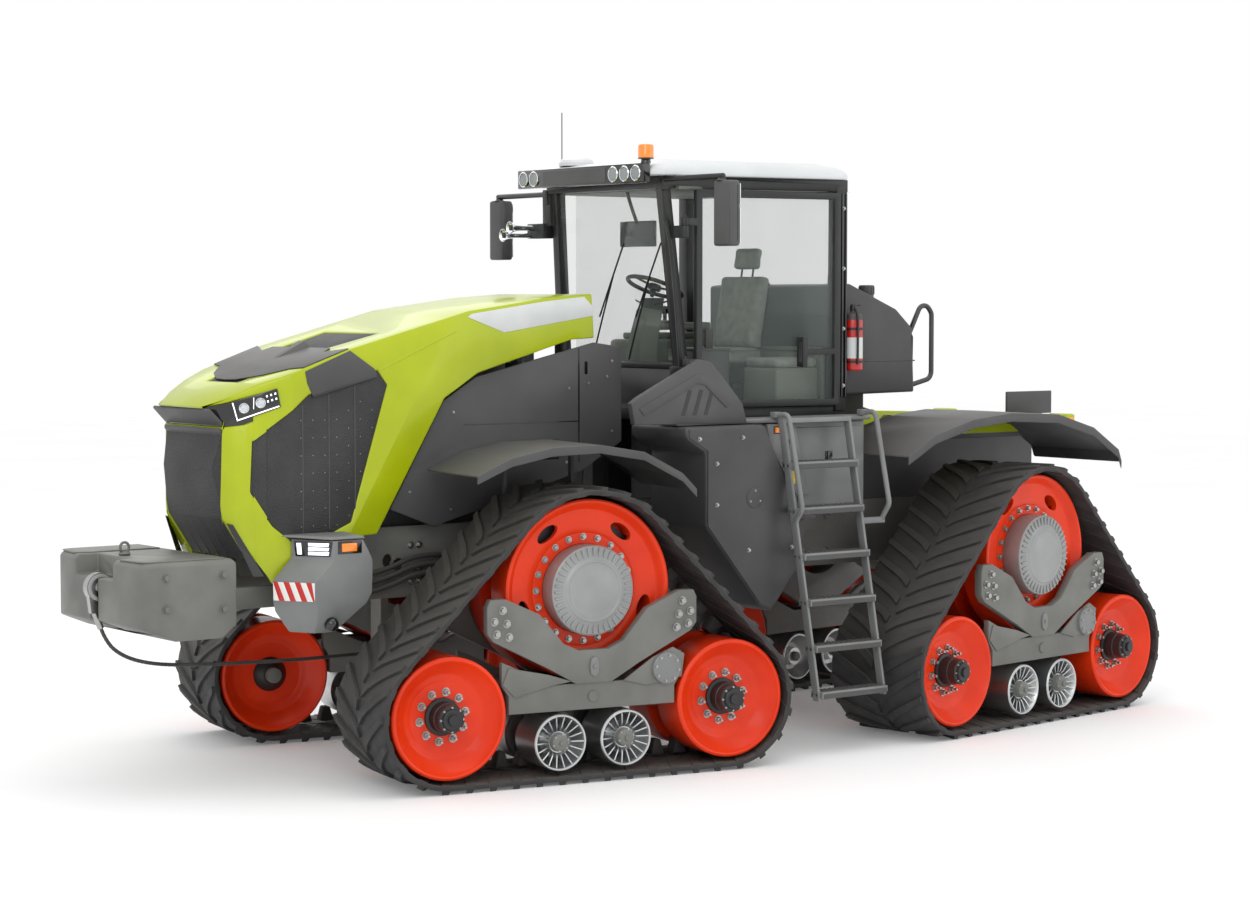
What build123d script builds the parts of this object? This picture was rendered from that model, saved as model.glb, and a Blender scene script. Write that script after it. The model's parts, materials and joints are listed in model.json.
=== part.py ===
from build123d import *
import math
import os

# Four-track, all-wheel-steer field tractor.
# Millimetres. +X forward, +Y to the driver's left, +Z up, ground at Z = 0.
# The model is laid out about the middle of the wheelbase and is moved along X at export,
# so that the origin is the bottom centre of the whole machine.

# ---- machine layout ----
wheelbase = 3600.0
kingpin_half_track = 800.0
belt_outboard = 320.0          # belt centre plane, outboard of the kingpin
steer_front = -9.9             # degrees, front track units as parked
steer_rear = 8.3               # degrees, rear track units as parked

# ---- rubber belt ----
belt_width = 762.0
carcass = 29.0
lug_height = 50.0
lug_count = 46
lug_root = 74.0                # lug length along the belt at its root
lug_tip = 52.0
guide_width = 100.0
guide_height = 90.0
guide_root = 90.0
guide_tip = 46.0

# ---- wheels of a track unit ----
axle_height = 1153.0
drive_radius = 546.7
idler_radius = 364.7
roller_radius = 172.2
idler_offset = 940.0
roller_offset = 219.0
wheel_gap = 0.3                # wheel tread to belt
groove_half = 65.0             # half the gap between paired wheels, for the guide lugs
drive_half_width = 285.0
idler_half_width = 357.5
tyre_band = 30.0               # rim wall under the tread
hub_radius = 272.5
hub_face = 372.0               # outer face of the final-drive hub
idler_hub_radius = 92.0
idler_hub_face = 425.0
window_count = 6
window_ring = 346.0
window_radius = 58.0
idler_bolt_count = 10

# ---- shafts and running clearances ----
shaft_clearance = 0.3
spindle_radius = 120.0
idler_axle_radius = 50.0
roller_axle_radius = 35.0
kingpin_radius = 50.0
sleeve_radius = 200.0
face_gap = 0.3

# ---- fork and knuckle ----
fork_radius = 130.0
fork_half_height = 200.0
fork_slot_half = 140.0
knuckle_radius = 110.0
beam_half_height = 150.0
differential_radius = 215.0

# ---- chassis ----
rail_outer = 350.0
rail_wall = 40.0
rail_bottom = 1060.0
rail_top = 1500.0
rail_front = 3800.0
rail_step = 3330.0             # in front of this the rails drop below the hood's nose
nose_rail_top = 1190.0
rail_rear = -2950.0
hitch_pin_radius = 25.5
hitch_pin_x = -3130.0
drawbar_bottom = 500.0
drawbar_wall = 80.0
hitch_bolt_radius = 11.0
hitch_bolt_y = 200.0
hitch_bolt_z = 950.0
hitch_bolt_rise = 300.0

# ---- hood ----
hood_half_width = 560.0
hood_skin = 30.0
grille_inset = 8.0
hood_hinge_x = 1290.0
hood_hinge_z = 2860.0

# ---- front weight and tow rope ----
weight_front = 4470.0
weight_rear = 3840.0
weight_half_width = 575.0
weight_bottom = 930.0
weight_top = 1390.0
rope_radius = 12.0
rope_anchor_x = 2540.0
tow_disc_radius = 86.0
tow_disc_x = 4440.0
tow_disc_z = 1212.0

# ---- cab ----
cab_floor = 2130.0
cab_front_top = 730.0
cab_front_bottom = 600.0
cab_rear = -620.0
cab_front_half = 600.0
cab_front_half_low = 690.0
cab_rear_half = 850.0
cab_pillar_top = 3650.0
glass_wall = 8.0
roof_top = 3800.0
hinge_pin_radius = 12.0

# ---- tank, ladder and platform ----
tank_inner = 620.0
tank_outer = 1200.0
deck_edge = 1100.0
ladder_front = 190.0
ladder_rear = -370.0
step_heights = (1830.0, 1540.0, 1250.0, 960.0, 670.0, 380.0)


rear_deck = 1960.0


# ======================= helpers =======================

def block(x0, x1, y0, y1, z0, z1):
    """A box between two corners."""
    centre = ((x0 + x1) / 2, (y0 + y1) / 2, (z0 + z1) / 2)
    return Pos(*centre) * Box(abs(x1 - x0), abs(y1 - y0), abs(z1 - z0))


def rod_y(x, z, radius, y0, y1):
    """A round bar along Y."""
    return Pos(x, (y0 + y1) / 2, z) * Rot(90, 0, 0) * Cylinder(radius, abs(y1 - y0))


def rod_z(x, y, radius, z0, z1):
    """A round bar along Z."""
    return Pos(x, y, (z0 + z1) / 2) * Cylinder(radius, abs(z1 - z0))


def rod_x(y, z, radius, x0, x1):
    """A round bar along X."""
    return Pos((x0 + x1) / 2, y, z) * Rot(0, 90, 0) * Cylinder(radius, abs(x1 - x0))


def side_plate(points, y0, y1):
    """An outline in the XZ plane, thickened from y0 to y1 (y1 above y0)."""
    face = make_face(Polyline(*points, close=True))
    return extrude(Plane.XZ.offset(-y1) * face, y1 - y0)


def deck_plate(points, z0, z1):
    """An outline in the XY plane, thickened from z0 to z1."""
    face = make_face(Polyline(*points, close=True))
    return extrude(Plane.XY.offset(z0) * face, z1 - z0)


def front_plate(points, x0, x1):
    """An outline in the YZ plane, thickened from x0 to x1."""
    face = make_face(Polyline(*points, close=True))
    return extrude(Plane.YZ.offset(x0) * face, x1 - x0)


def tube(points, radius, bends):
    """A round bar along straight runs joined by tangent arcs."""
    route = FilletPolyline(*points, radius=bends)
    return sweep(Plane(route @ 0, z_dir=route % 0) * Circle(radius), path=route)


def both_sides(shape):
    """A left-hand piece with its mirrored right-hand twin."""
    return [shape, mirror(shape, about=Plane.XZ)]


# ======================= track unit, in its own frame =======================
# x forward, y outboard from the belt centre plane, z from the ground.

belt_idler_radius = idler_radius + wheel_gap
belt_drive_radius = drive_radius + wheel_gap
idler_height = belt_idler_radius + carcass + lug_height
roller_height = carcass + lug_height + wheel_gap + roller_radius
centre_run = math.hypot(idler_offset, axle_height - idler_height)


def belt_stations(offset):
    """The belt loop, offset outwards from its inner face, as straight runs and arcs.

    Each entry is (length, function from distance along it to (x, z, nx, nz)).
    """
    small = belt_idler_radius + offset
    large = belt_drive_radius + offset
    slope = math.atan2(idler_height - axle_height, idler_offset)
    normal = slope + math.acos((large - small) / centre_run)
    flank = centre_run * math.sqrt(1 - ((large - small) / centre_run) ** 2)

    def run(x, z, angle):
        heading = angle + math.pi / 2
        return lambda s: (x + s * math.cos(heading), z + s * math.sin(heading), math.cos(angle), math.sin(angle))

    def arc(x, z, radius, start):
        def at(s):
            angle = start + s / radius
            return (x + radius * math.cos(angle), z + radius * math.sin(angle), math.cos(angle), math.sin(angle))
        return at

    nx = math.cos(normal)
    nz = math.sin(normal)
    wrap = normal + math.pi / 2
    return [
        (2 * idler_offset, run(-idler_offset, idler_height - small, -math.pi / 2)),
        (small * wrap, arc(idler_offset, idler_height, small, -math.pi / 2)),
        (flank, run(idler_offset + small * nx, idler_height + small * nz, normal)),
        (large * (math.pi - 2 * normal), arc(0, axle_height, large, normal)),
        (flank, run(-large * nx, axle_height + large * nz, math.pi - normal)),
        (small * wrap, arc(-idler_offset, idler_height, small, math.pi - normal)),
    ]


def belt_point(stations, distance):
    """The place and outward normal at a distance along the loop."""
    total = sum(length for length, at in stations)
    distance = distance % total
    for length, at in stations:
        if distance <= length:
            return at(distance)
        distance -= length
    return stations[-1][1](stations[-1][0])


def toothed_outline(offset, height, root, tip, phase):
    """A closed outline that follows the loop with one tooth at each pitch."""
    stations = belt_stations(offset)
    pitch = sum(length for length, at in stations) / lug_count
    points = []
    for index in range(lug_count):
        middle = (index + phase) * pitch
        for step, rise in ((-root / 2, 0), (-tip / 2, height), (tip / 2, height), (root / 2, 0)):
            x, z, nx, nz = belt_point(stations, middle + step)
            points.append((x + rise * nx, z + rise * nz))
    return make_face(Polyline(*points, close=True))


def smooth_outline(offset):
    """The loop at an offset, as a face with true arcs."""
    small = belt_idler_radius + offset
    large = belt_drive_radius + offset
    circles = [
        Pos(idler_offset, idler_height) * Circle(small),
        Pos(-idler_offset, idler_height) * Circle(small),
        Pos(0, axle_height) * Circle(large),
    ]
    edges = [edge for circle in circles for edge in circle.edges()]
    return make_hull(edges)


def belt():
    """The rubber belt: carcass, two staggered rows of drive lugs, and guide lugs inside."""
    half = belt_width / 2
    inner = smooth_outline(0)
    left = toothed_outline(carcass, lug_height, lug_root, lug_tip, 0.0) - inner
    right = toothed_outline(carcass, lug_height, lug_root, lug_tip, 0.5) - inner
    guides = smooth_outline(carcass / 2) - toothed_outline(0, -guide_height, guide_root, guide_tip, 0.25)
    solid = extrude(Plane.XZ.offset(-half) * left, half)
    solid += extrude(Plane.XZ * right, half)
    solid += extrude(Plane.XZ.offset(-guide_width / 2) * guides, guide_width)
    return solid


def drive_wheel():
    """The friction drive wheel with its windowed disc and the final-drive hub on it."""
    bore = spindle_radius + shaft_clearance
    wheel = rod_y(0, axle_height, drive_radius, -drive_half_width, drive_half_width)
    wheel -= rod_y(0, axle_height, drive_radius - tyre_band - 14, -drive_half_width, -groove_half - 20)
    wheel -= rod_y(0, axle_height, drive_radius - tyre_band - 14, groove_half + 20, drive_half_width)
    groove = rod_y(0, axle_height, drive_radius + 1, -groove_half, groove_half)
    groove -= rod_y(0, axle_height, drive_radius - guide_height - 14, -groove_half, groove_half)
    wheel -= groove
    wheel -= rod_y(0, axle_height, drive_radius - guide_height - 40, -groove_half - 20, -12)
    wheel -= rod_y(0, axle_height, drive_radius - guide_height - 40, 30, groove_half + 20)
    for index in range(window_count):
        angle = math.radians(60 * index + 30)
        x = window_ring * math.cos(angle)
        z = axle_height + window_ring * math.sin(angle)
        wheel -= rod_y(x, z, window_radius, -20, 40)
    wheel += rod_y(0, axle_height, hub_radius, -12, hub_face - 14)
    wheel += rod_y(0, axle_height, hub_radius - 12, hub_face - 14, hub_face)
    wheel -= rod_y(0, axle_height, bore, -20, hub_face - 60)
    return wheel


def paired_wheel(x, z, radius, half_width, axle_radius, hub, hub_end, dish, bolts):
    """Two wheels on one axle with the guide-lug gap between them, as two solids."""
    halves = []
    bore = axle_radius + shaft_clearance
    for side in (1, -1):
        near = groove_half * side
        far = half_width * side
        web = (half_width - dish) * side
        wheel = rod_y(x, z, radius, near, far)
        wheel -= rod_y(x, z, radius - tyre_band, web, far)
        wheel += rod_y(x, z, hub, web, hub_end * side)
        wheel -= rod_y(x, z, bore, near, (half_width - 12) * side)
        for index in range(bolts):
            angle = 2 * math.pi * index / bolts
            bolt_x = x + (hub + 34) * math.cos(angle)
            bolt_z = z + (hub + 34) * math.sin(angle)
            wheel += rod_y(bolt_x, bolt_z, 15, web, web + 22 * side)
        halves.append(wheel)
    return halves


def idler(x):
    """A tensioning idler: paired dished wheels with a bolted hub."""
    return paired_wheel(x, idler_height, idler_radius, idler_half_width, idler_axle_radius,
                        idler_hub_radius, idler_hub_face, 70.0, idler_bolt_count)


def roller(x):
    """A mid roller: paired finned wheels."""
    return paired_wheel(x, roller_height, roller_radius, idler_half_width, roller_axle_radius,
                        62.0, idler_half_width + 22, 40.0, 0)


yoke_outline = [
    (700, 1085), (680, 1130), (580, 1130), (360, 1030), (200, 845), (100, 800),
    (-100, 800), (-200, 845), (-360, 1030), (-580, 1130), (-680, 1130), (-700, 1085),
    (-700, 930), (-660, 880), (-300, 700), (-120, 600), (120, 600), (300, 700), (660, 880), (700, 930),
]
lower_outline = [
    (600, 755), (600, 615), (500, 470), (-500, 470), (-600, 615), (-600, 763),
    (-480, 720), (-260, 600), (260, 600), (480, 700),
]
yoke_near = drive_half_width + 15
yoke_far = 360.0
lower_far = 345.0
frame_top = axle_height - drive_radius - 19
cup_radius = 300.0
cup_wall = 40.0


def undercarriage():
    """The bogie frame: centre beam, outer yoke, inner yoke with its pivot ring, and the axles."""
    frame = block(-555, 555, -lower_far, lower_far, 440, frame_top)
    frame += side_plate(lower_outline, yoke_near, lower_far)
    frame += side_plate(lower_outline, -lower_far, -yoke_near)
    frame += side_plate(yoke_outline, yoke_near, yoke_far)
    frame += side_plate(yoke_outline, -yoke_far, -yoke_near)
    frame += rod_y(0, axle_height, cup_radius + 80, -yoke_far, -yoke_near)
    frame += rod_y(0, axle_height, cup_radius + cup_wall, -yoke_far, -95)
    frame -= rod_y(0, axle_height, cup_radius, -yoke_far - 1, -130)
    frame -= rod_y(0, axle_height, sleeve_radius + shaft_clearance, -131, -90)
    for side in (1, -1):
        x = idler_offset * side
        frame += block(540 * side, x, -50, 50, idler_height - 60, idler_height + 70)
        frame += rod_y(x, idler_height, 100, -55, 55)
        frame += rod_y(x, idler_height, idler_axle_radius, -idler_half_width + 14, idler_half_width - 14)
        x = roller_offset * side
        frame += block(x - 60, x + 60, -50, 50, roller_height, 445)
        frame += rod_y(x, roller_height, 55, -55, 55)
        frame += rod_y(x, roller_height, roller_axle_radius, -idler_half_width + 14, idler_half_width - 14)
    return frame


def knuckle():
    """The steering knuckle: kingpin boss, sleeve for the pivot ring, and the wheel spindle."""
    pin = -belt_outboard
    body = rod_z(0, pin, knuckle_radius, axle_height - fork_slot_half + face_gap, axle_height + fork_slot_half - face_gap)
    body += block(-knuckle_radius, knuckle_radius, pin, -178, axle_height - 138, axle_height + 138)
    body += rod_y(0, axle_height, sleeve_radius + 26, -180, -130 - face_gap)
    body += rod_y(0, axle_height, sleeve_radius, -131, -22)
    body += rod_y(0, axle_height, spindle_radius, -23, hub_face - 70)
    body += block(-240, 240, pin - 60, pin + 20, axle_height - 70, axle_height + 70)
    body -= rod_z(0, pin, kingpin_radius + shaft_clearance, axle_height - 300, axle_height + 300)
    return body


fender_outline_top = [(745, 1860), (520, 1960), (250, 2015), (-60, 2025), (-360, 1975), (-620, 1840), (-720, 1740)]
fender_wall = 12.0


def front_fender():
    """The front fender: an arched sheet over the belt on two brackets from the knuckle."""
    lower = [(x, z - fender_wall) for x, z in reversed(fender_outline_top)]
    sheet = side_plate(fender_outline_top + lower, -430, 330)
    rim = [(x, z - 52) for x, z in reversed(fender_outline_top)]
    sheet += side_plate(fender_outline_top + rim, 318, 330)
    for side in (1, -1):
        inner = 215 * side
        outer = 240 * side
        low = belt_outboard + 60
        arm = block(inner, outer, -low - 60, -low, axle_height - 60, 1200)
        arm += block(inner, outer, -low - 60, -low - 20, 1190, 2060)
        sheet += arm
    return sheet


def front_sheet_cut():
    """The space above the fender sheet, which trims its brackets."""
    return side_plate(fender_outline_top + [(-900, 1740), (-900, 2300), (900, 2300), (900, 1860)], -500, 400)


def place_unit(shape, front, left):
    """Put a left-hand unit piece at one corner of the machine."""
    x = wheelbase / 2 if front else -wheelbase / 2
    turn = steer_front if front else steer_rear
    side = 1 if left else -1
    piece = Pos(0, belt_outboard, 0) * shape
    if not left:
        piece = mirror(piece, about=Plane.XZ)
    return Pos(x, side * kingpin_half_track, 0) * Rot(0, 0, turn) * piece


# ======================= chassis and driveline =======================

def axle_housings():
    """The two rigid axles: differential case, beam, and a fork with its kingpin at each end."""
    result = []
    for x in (wheelbase / 2, -wheelbase / 2):
        axle = block(x - fork_radius, x + fork_radius, -640, 640,
                     axle_height - beam_half_height, axle_height + beam_half_height)
        axle += rod_y(x, axle_height, differential_radius, -200, 200)
        for side in (1, -1):
            y = kingpin_half_track * side
            fork = block(x - fork_radius, x + fork_radius, y - 170 * side, y,
                         axle_height - fork_half_height, axle_height + fork_half_height)
            fork += rod_z(x, y, fork_radius, axle_height - fork_half_height, axle_height + fork_half_height)
            fork -= block(x - 300, x + 300, y - 122 * side, y + 200 * side,
                          axle_height - fork_slot_half, axle_height + fork_slot_half)
            axle += fork
            axle += rod_z(x, y, kingpin_radius, axle_height - fork_half_height - 12, axle_height + fork_half_height + 12)
        result.append(axle)
    return result


def chassis_frame():
    """Two deep side rails with cross members, the front weight plate, the rope anchor and the drawbar."""
    frame = None
    notch_top = axle_height + beam_half_height
    for side in (1, -1):
        near = (rail_outer - rail_wall) * side
        far = rail_outer * side
        rail = block(rail_rear, rail_step, near, far, rail_bottom, rail_top)
        rail += block(rail_step, rail_front, near, far, rail_bottom, nose_rail_top)
        for x in (wheelbase / 2, -wheelbase / 2):
            rail -= block(x - fork_radius - 5, x + fork_radius + 5, 250 * side, 400 * side, 900, notch_top)
        rail -= rod_y(2580, 1262, 42, 250, 400) + rod_y(2660, 1290, 42, 250, 400)
        frame = rail if frame is None else frame + rail
    inside = rail_outer - rail_wall
    frame += block(3720, weight_rear, -inside - rail_wall, inside + rail_wall, 960, nose_rail_top)
    frame += block(2480, rope_anchor_x, -inside, inside, 1060, 1160)
    frame += block(2480, rope_anchor_x, -60, 60, 600, 1062)
    frame += block(-1000, -920, -inside, inside, 1300, rail_top)
    frame += block(rail_rear, rail_rear + 60, -inside, inside, drawbar_bottom, rail_top)
    frame += block(-3200, rail_rear + 60, -70, 70, drawbar_bottom, drawbar_bottom + drawbar_wall)
    frame += side_plate([(rail_rear + 60, 500), (rail_rear + 60, 900), (rail_rear, 900), (-3060, 570)], -20, 20)
    frame -= rod_z(hitch_pin_x, 0, hitch_pin_radius, 400, 800)
    for y in (-hitch_bolt_y, hitch_bolt_y):
        for z in (hitch_bolt_z, hitch_bolt_z + hitch_bolt_rise):
            frame -= rod_x(y, z, hitch_bolt_radius, rail_rear - 10, rail_rear + 70)
    return frame


def driveline():
    """Engine block, radiator pack, gearbox and the two drive shafts between the rails."""
    sump = axle_height + differential_radius + 7
    engine = block(1420, 2720, -270, 270, sump, 2120)
    engine += block(1550, 2600, -190, 190, 2100, 2330)
    engine += rod_y(2740, 1500, 120, -120, 120)
    radiator = block(2960, 3200, -420, 420, rail_top, 2360)
    gearbox = block(-620, 860, -260, 260, 1010, 1480)
    reach = wheelbase / 2 - differential_radius
    front_shaft = rod_x(0, axle_height, 45, 860, reach)
    rear_shaft = rod_x(0, axle_height, 45, -reach, -620)
    bell = rod_x(0, 1395, 200, 860, 1420)
    inside = rail_outer - rail_wall
    mounts = block(2300, 2400, -inside, inside, sump, sump + 70) + block(-100, 100, -inside, inside, 1100, 1180)
    return [engine + bell + gearbox + mounts, radiator, front_shaft, rear_shaft]


# ======================= front weight and rope =======================

rope_route = [
    (4428, 0, 968), (4392, 0, 880), (4300, 0, 800), (4160, 0, 745), (3960, 0, 712),
    (3615, 0, 694), (3260, 4, 682), (2900, 0, 676), (rope_anchor_x + 0.5, 0, 680),
]


def front_weight():
    """A cast front weight with a centre slot, a top pocket and a tow pin through it."""
    half = weight_half_width
    front = weight_front
    plan = [(weight_rear, half), (front - 110, half), (front - 40, half - 40), (front, 330), (front, -330),
            (front - 40, -half + 40), (front - 110, -half), (weight_rear, -half)]
    body = deck_plate(plan, weight_bottom, weight_top)
    body = chamfer(body.faces().sort_by(Axis.Z)[-1].edges(), 24)
    body -= block(front - 230, front + 10, -50, 50, 800, weight_top - 119)
    body -= rod_z(front - 200, 0, 20 + shaft_clearance, weight_top - 200, weight_top + 50)
    body -= block(front - 150, front + 10, -240, 240, weight_top - 120, weight_top + 50)
    body -= side_plate([(front - 260, weight_bottom - 10), (front + 20, weight_bottom - 10), (front + 20, 1030)],
                       -half - 10, half + 10)
    body -= side_plate([(weight_rear - 10, 800), (weight_rear + 260, 800), (weight_rear - 10, 1010)],
                       -half - 10, half + 10)
    pin = rod_y(tow_disc_x, tow_disc_z, 24, -50, 50)
    lift_pin = rod_z(front - 200, 0, 20, 1100, 1400) + rod_z(front - 200, 0, 36, 1390, 1410)
    lift_pin += Pos(front - 200, 0, 1438) * Rot(90, 0, 0) * Torus(28, 8)
    return [body + pin, lift_pin]


def tow_eye():
    """The rope's thimble eye on the cross pin, with its ferrule."""
    disc = rod_y(tow_disc_x, tow_disc_z, tow_disc_radius, -28, 28)
    disc -= rod_y(tow_disc_x, tow_disc_z, 24 + shaft_clearance, -40, 40)
    neck = side_plate([(4370, 1165), (4510, 1165), (4495, 1060), (4450, 1060)], -20, 20)
    end = Vector(*rope_route[0])
    along = (Vector(*rope_route[1]) - end).normalized()
    ferrule = extrude(Plane(end - along * 118, z_dir=along) * Circle(19), 118)
    eye = disc + neck + ferrule
    return eye - rod_y(tow_disc_x, tow_disc_z, 24 + shaft_clearance, -40, 40)


def tow_rope():
    """The steel rope from the ferrule to its anchor under the frame."""
    points = [Vector(*point) for point in rope_route]
    bends = []
    for before, at, after in zip(points, points[1:], points[2:]):
        turn = (at - before).get_angle(after - at)
        shorter = min((at - before).length, (after - at).length)
        bends.append(0.45 * shorter / math.tan(math.radians(turn / 2)))
    print("rope bend radii", [round(bend) for bend in bends])
    route = FilletPolyline(*points, radius=bends)
    print("rope length", round(route.length))
    return sweep(Plane(route @ 0, z_dir=route % 0) * Circle(rope_radius), path=route)


# ======================= hood =======================

hood_profile = [
    (1215, 2640), (1235, 2930), (1590, 2905), (2200, 2825), (3050, 2600), (3620, 2400), (3905, 2262),
    (3800, 2170), (3860, 1900), (3810, 1600), (3560, 1215), (3380, 1300), (3060, 1470), (2870, 1480),
    (2380, 2290), (2130, 2440),
]
hood_plan = [
    (1100, 520), (2300, hood_half_width), (3450, hood_half_width), (3760, 400), (3920, 250),
    (3920, -250), (3760, -400), (3450, -hood_half_width), (2300, -hood_half_width), (1100, -520),
]
intake_window = [
    (3340, 2330), (2860, 2470), (2790, 2380), (3050, 1560), (3400, 1410), (3560, 1560), (3672, 1760), (3660, 2060),
]
lamp_window = [(3970, 2235), (3970, 2120), (3700, 2160), (3380, 2300), (3380, 2385), (3640, 2330)]


def hood_block(inset):
    """The solid that the hood encloses, drawn in by an inset."""
    profile = make_face(Polyline(*hood_profile, close=True))
    plan = make_face(Polyline(*hood_plan, close=True))
    if inset > 0:
        profile = offset(profile, -inset, kind=Kind.INTERSECTION)
        plan = offset(plan, -inset, kind=Kind.INTERSECTION)
    side = extrude(Plane.XZ.offset(-900) * profile, 1800)
    return side & extrude(Plane.XY.offset(1000) * plan, 2200)


def hood_side_window():
    """The intake openings in both cheeks."""
    return side_plate(intake_window, 380, 700) + side_plate(intake_window, -700, -380)


def hood_front_window():
    """The grille opening in the nose."""
    return front_plate([(350, 2125), (330, 1180), (-330, 1180), (-350, 2125)], 3400, 4000)


def hood_lamp_window():
    """The band across the nose that holds the headlights."""
    band = side_plate(lamp_window, -480, 480)
    return band


def hood_top_window():
    """The dark insert on the hood top."""
    return deck_plate([(3620, 190), (2700, 330), (2700, -330), (3620, -190)], 2300, 2900)


def hood_open_side():
    """What the hood leaves open: its rear, its underside and the flanks behind the struts."""
    low = [(1000, 2660), (1400, 2640), (2130, 2440), (2380, 2290), (2870, 1480), (2870, 1000), (1000, 1000)]
    space = side_plate(low, -900, 900)
    inside = [(1000, 1000), (1000, 2895), (1235, 2895), (1590, 2872), (2200, 2792), (3040, 2568), (3560, 2385),
              (3640, 2200), (3640, 1000)]
    return space + side_plate(inside, -480, 480)


def hood_shell():
    """The painted hood: crown, cheeks and struts."""
    shell = hood_block(0) - hood_block(hood_skin)
    shell -= hood_open_side()
    shell -= hood_side_window()
    shell -= hood_front_window()
    shell -= hood_lamp_window()
    shell -= hood_top_window()
    for side in (1, -1):
        shell += rod_y(hood_hinge_x, hood_hinge_z, 24, 300 * side, 340 * side)
        shell += block(hood_hinge_x - 20, hood_hinge_x + 20, 300 * side, 340 * side, hood_hinge_z, 2900)
    return shell - rod_y(hood_hinge_x, hood_hinge_z, hinge_pin_radius + shaft_clearance, -400, 400)


def hood_grilles():
    """The dark mesh and insert panels that fill the hood's openings."""
    skin = hood_block(grille_inset) - hood_block(hood_skin)
    panels = skin & (hood_side_window() + hood_front_window() + hood_top_window())
    return panels - hood_lamp_window() - hood_open_side()


def headlights():
    """The lamp band across the nose, with a lamp unit at each side."""
    skin = hood_block(4) - hood_block(hood_skin + 30)
    return skin & hood_lamp_window()


def engine_side_panels():
    """Fixed panels that cover the engine's flanks behind the hood struts."""
    outline = [(980, 2590), (1200, 2620), (2110, 2415), (2355, 2270), (2740, 1620), (2420, 1500),
               (1300, 1800), (980, 1980)]
    panel = side_plate(outline, 478, 500)
    panel += block(1100, 1180, rail_outer, 480, 1900, 1960)
    panel += block(1100, 1180, rail_outer - 60, rail_outer, rail_top, 1960)
    return both_sides(panel)


def hood_stand():
    """The cross beam and pin that the hood hinges on."""
    stand = rod_y(hood_hinge_x, hood_hinge_z, hinge_pin_radius, -360, 360)
    for side in (1, -1):
        stand += block(hood_hinge_x - 30, hood_hinge_x + 22, 215 * side, 285 * side, 2460, hood_hinge_z + 18)
    stand += block(1180, hood_hinge_x + 22, -rail_outer, rail_outer, 2440, 2480)
    for side in (1, -1):
        stand += block(1180, 1260, (rail_outer - 60) * side, rail_outer * side, rail_top, 2480)
    return stand


def corner_lamp_boxes():
    """A lamp box at each front corner, carried on the frame."""
    outline = [(3610, 1225), (3560, 1490), (3460, 1510), (3180, 1505), (3120, 1400), (3120, 1120), (3300, 930),
               (3520, 930), (3590, 1000)]
    box = side_plate(outline, hood_half_width + 15, 800)
    box -= side_plate([(3640, 1490), (3560, 1490), (3400, 1330), (3640, 1225)], 740, 810)
    box += block(3300, 3500, rail_outer, hood_half_width + 16, 1060, 1160)
    return both_sides(box)


# ======================= cab =======================

steering_tilt = Pos(325, 0, 2978) * Rot(0, -22, 0)


def cab_front_edge(z):
    """X of the windscreen plane at a height."""
    share = (z - cab_floor) / (cab_pillar_top - cab_floor)
    return cab_front_bottom + share * (cab_front_top - cab_front_bottom)


def cab_half(x, z):
    """Half the cab's width at a place."""
    share = (z - cab_floor) / (cab_pillar_top - cab_floor)
    front = cab_front_half_low + share * (cab_front_half - cab_front_half_low)
    along = (x - cab_rear) / (cab_front_bottom - cab_rear)
    return cab_rear_half + along * (front - cab_rear_half)


def post(x0, x1, y0, y1, low, high, size):
    """A leaning square post between two heights, from (x0, y0) to (x1, y1)."""
    start = Vector(x0, y0, low)
    end = Vector(x1, y1, high)
    section = Plane(start, x_dir=(1, 0, 0), z_dir=(0, 0, 1)) * Rectangle(size, size)
    top = Plane(end, x_dir=(1, 0, 0), z_dir=(0, 0, 1)) * Rectangle(size, size)
    return loft([section, top])


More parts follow.
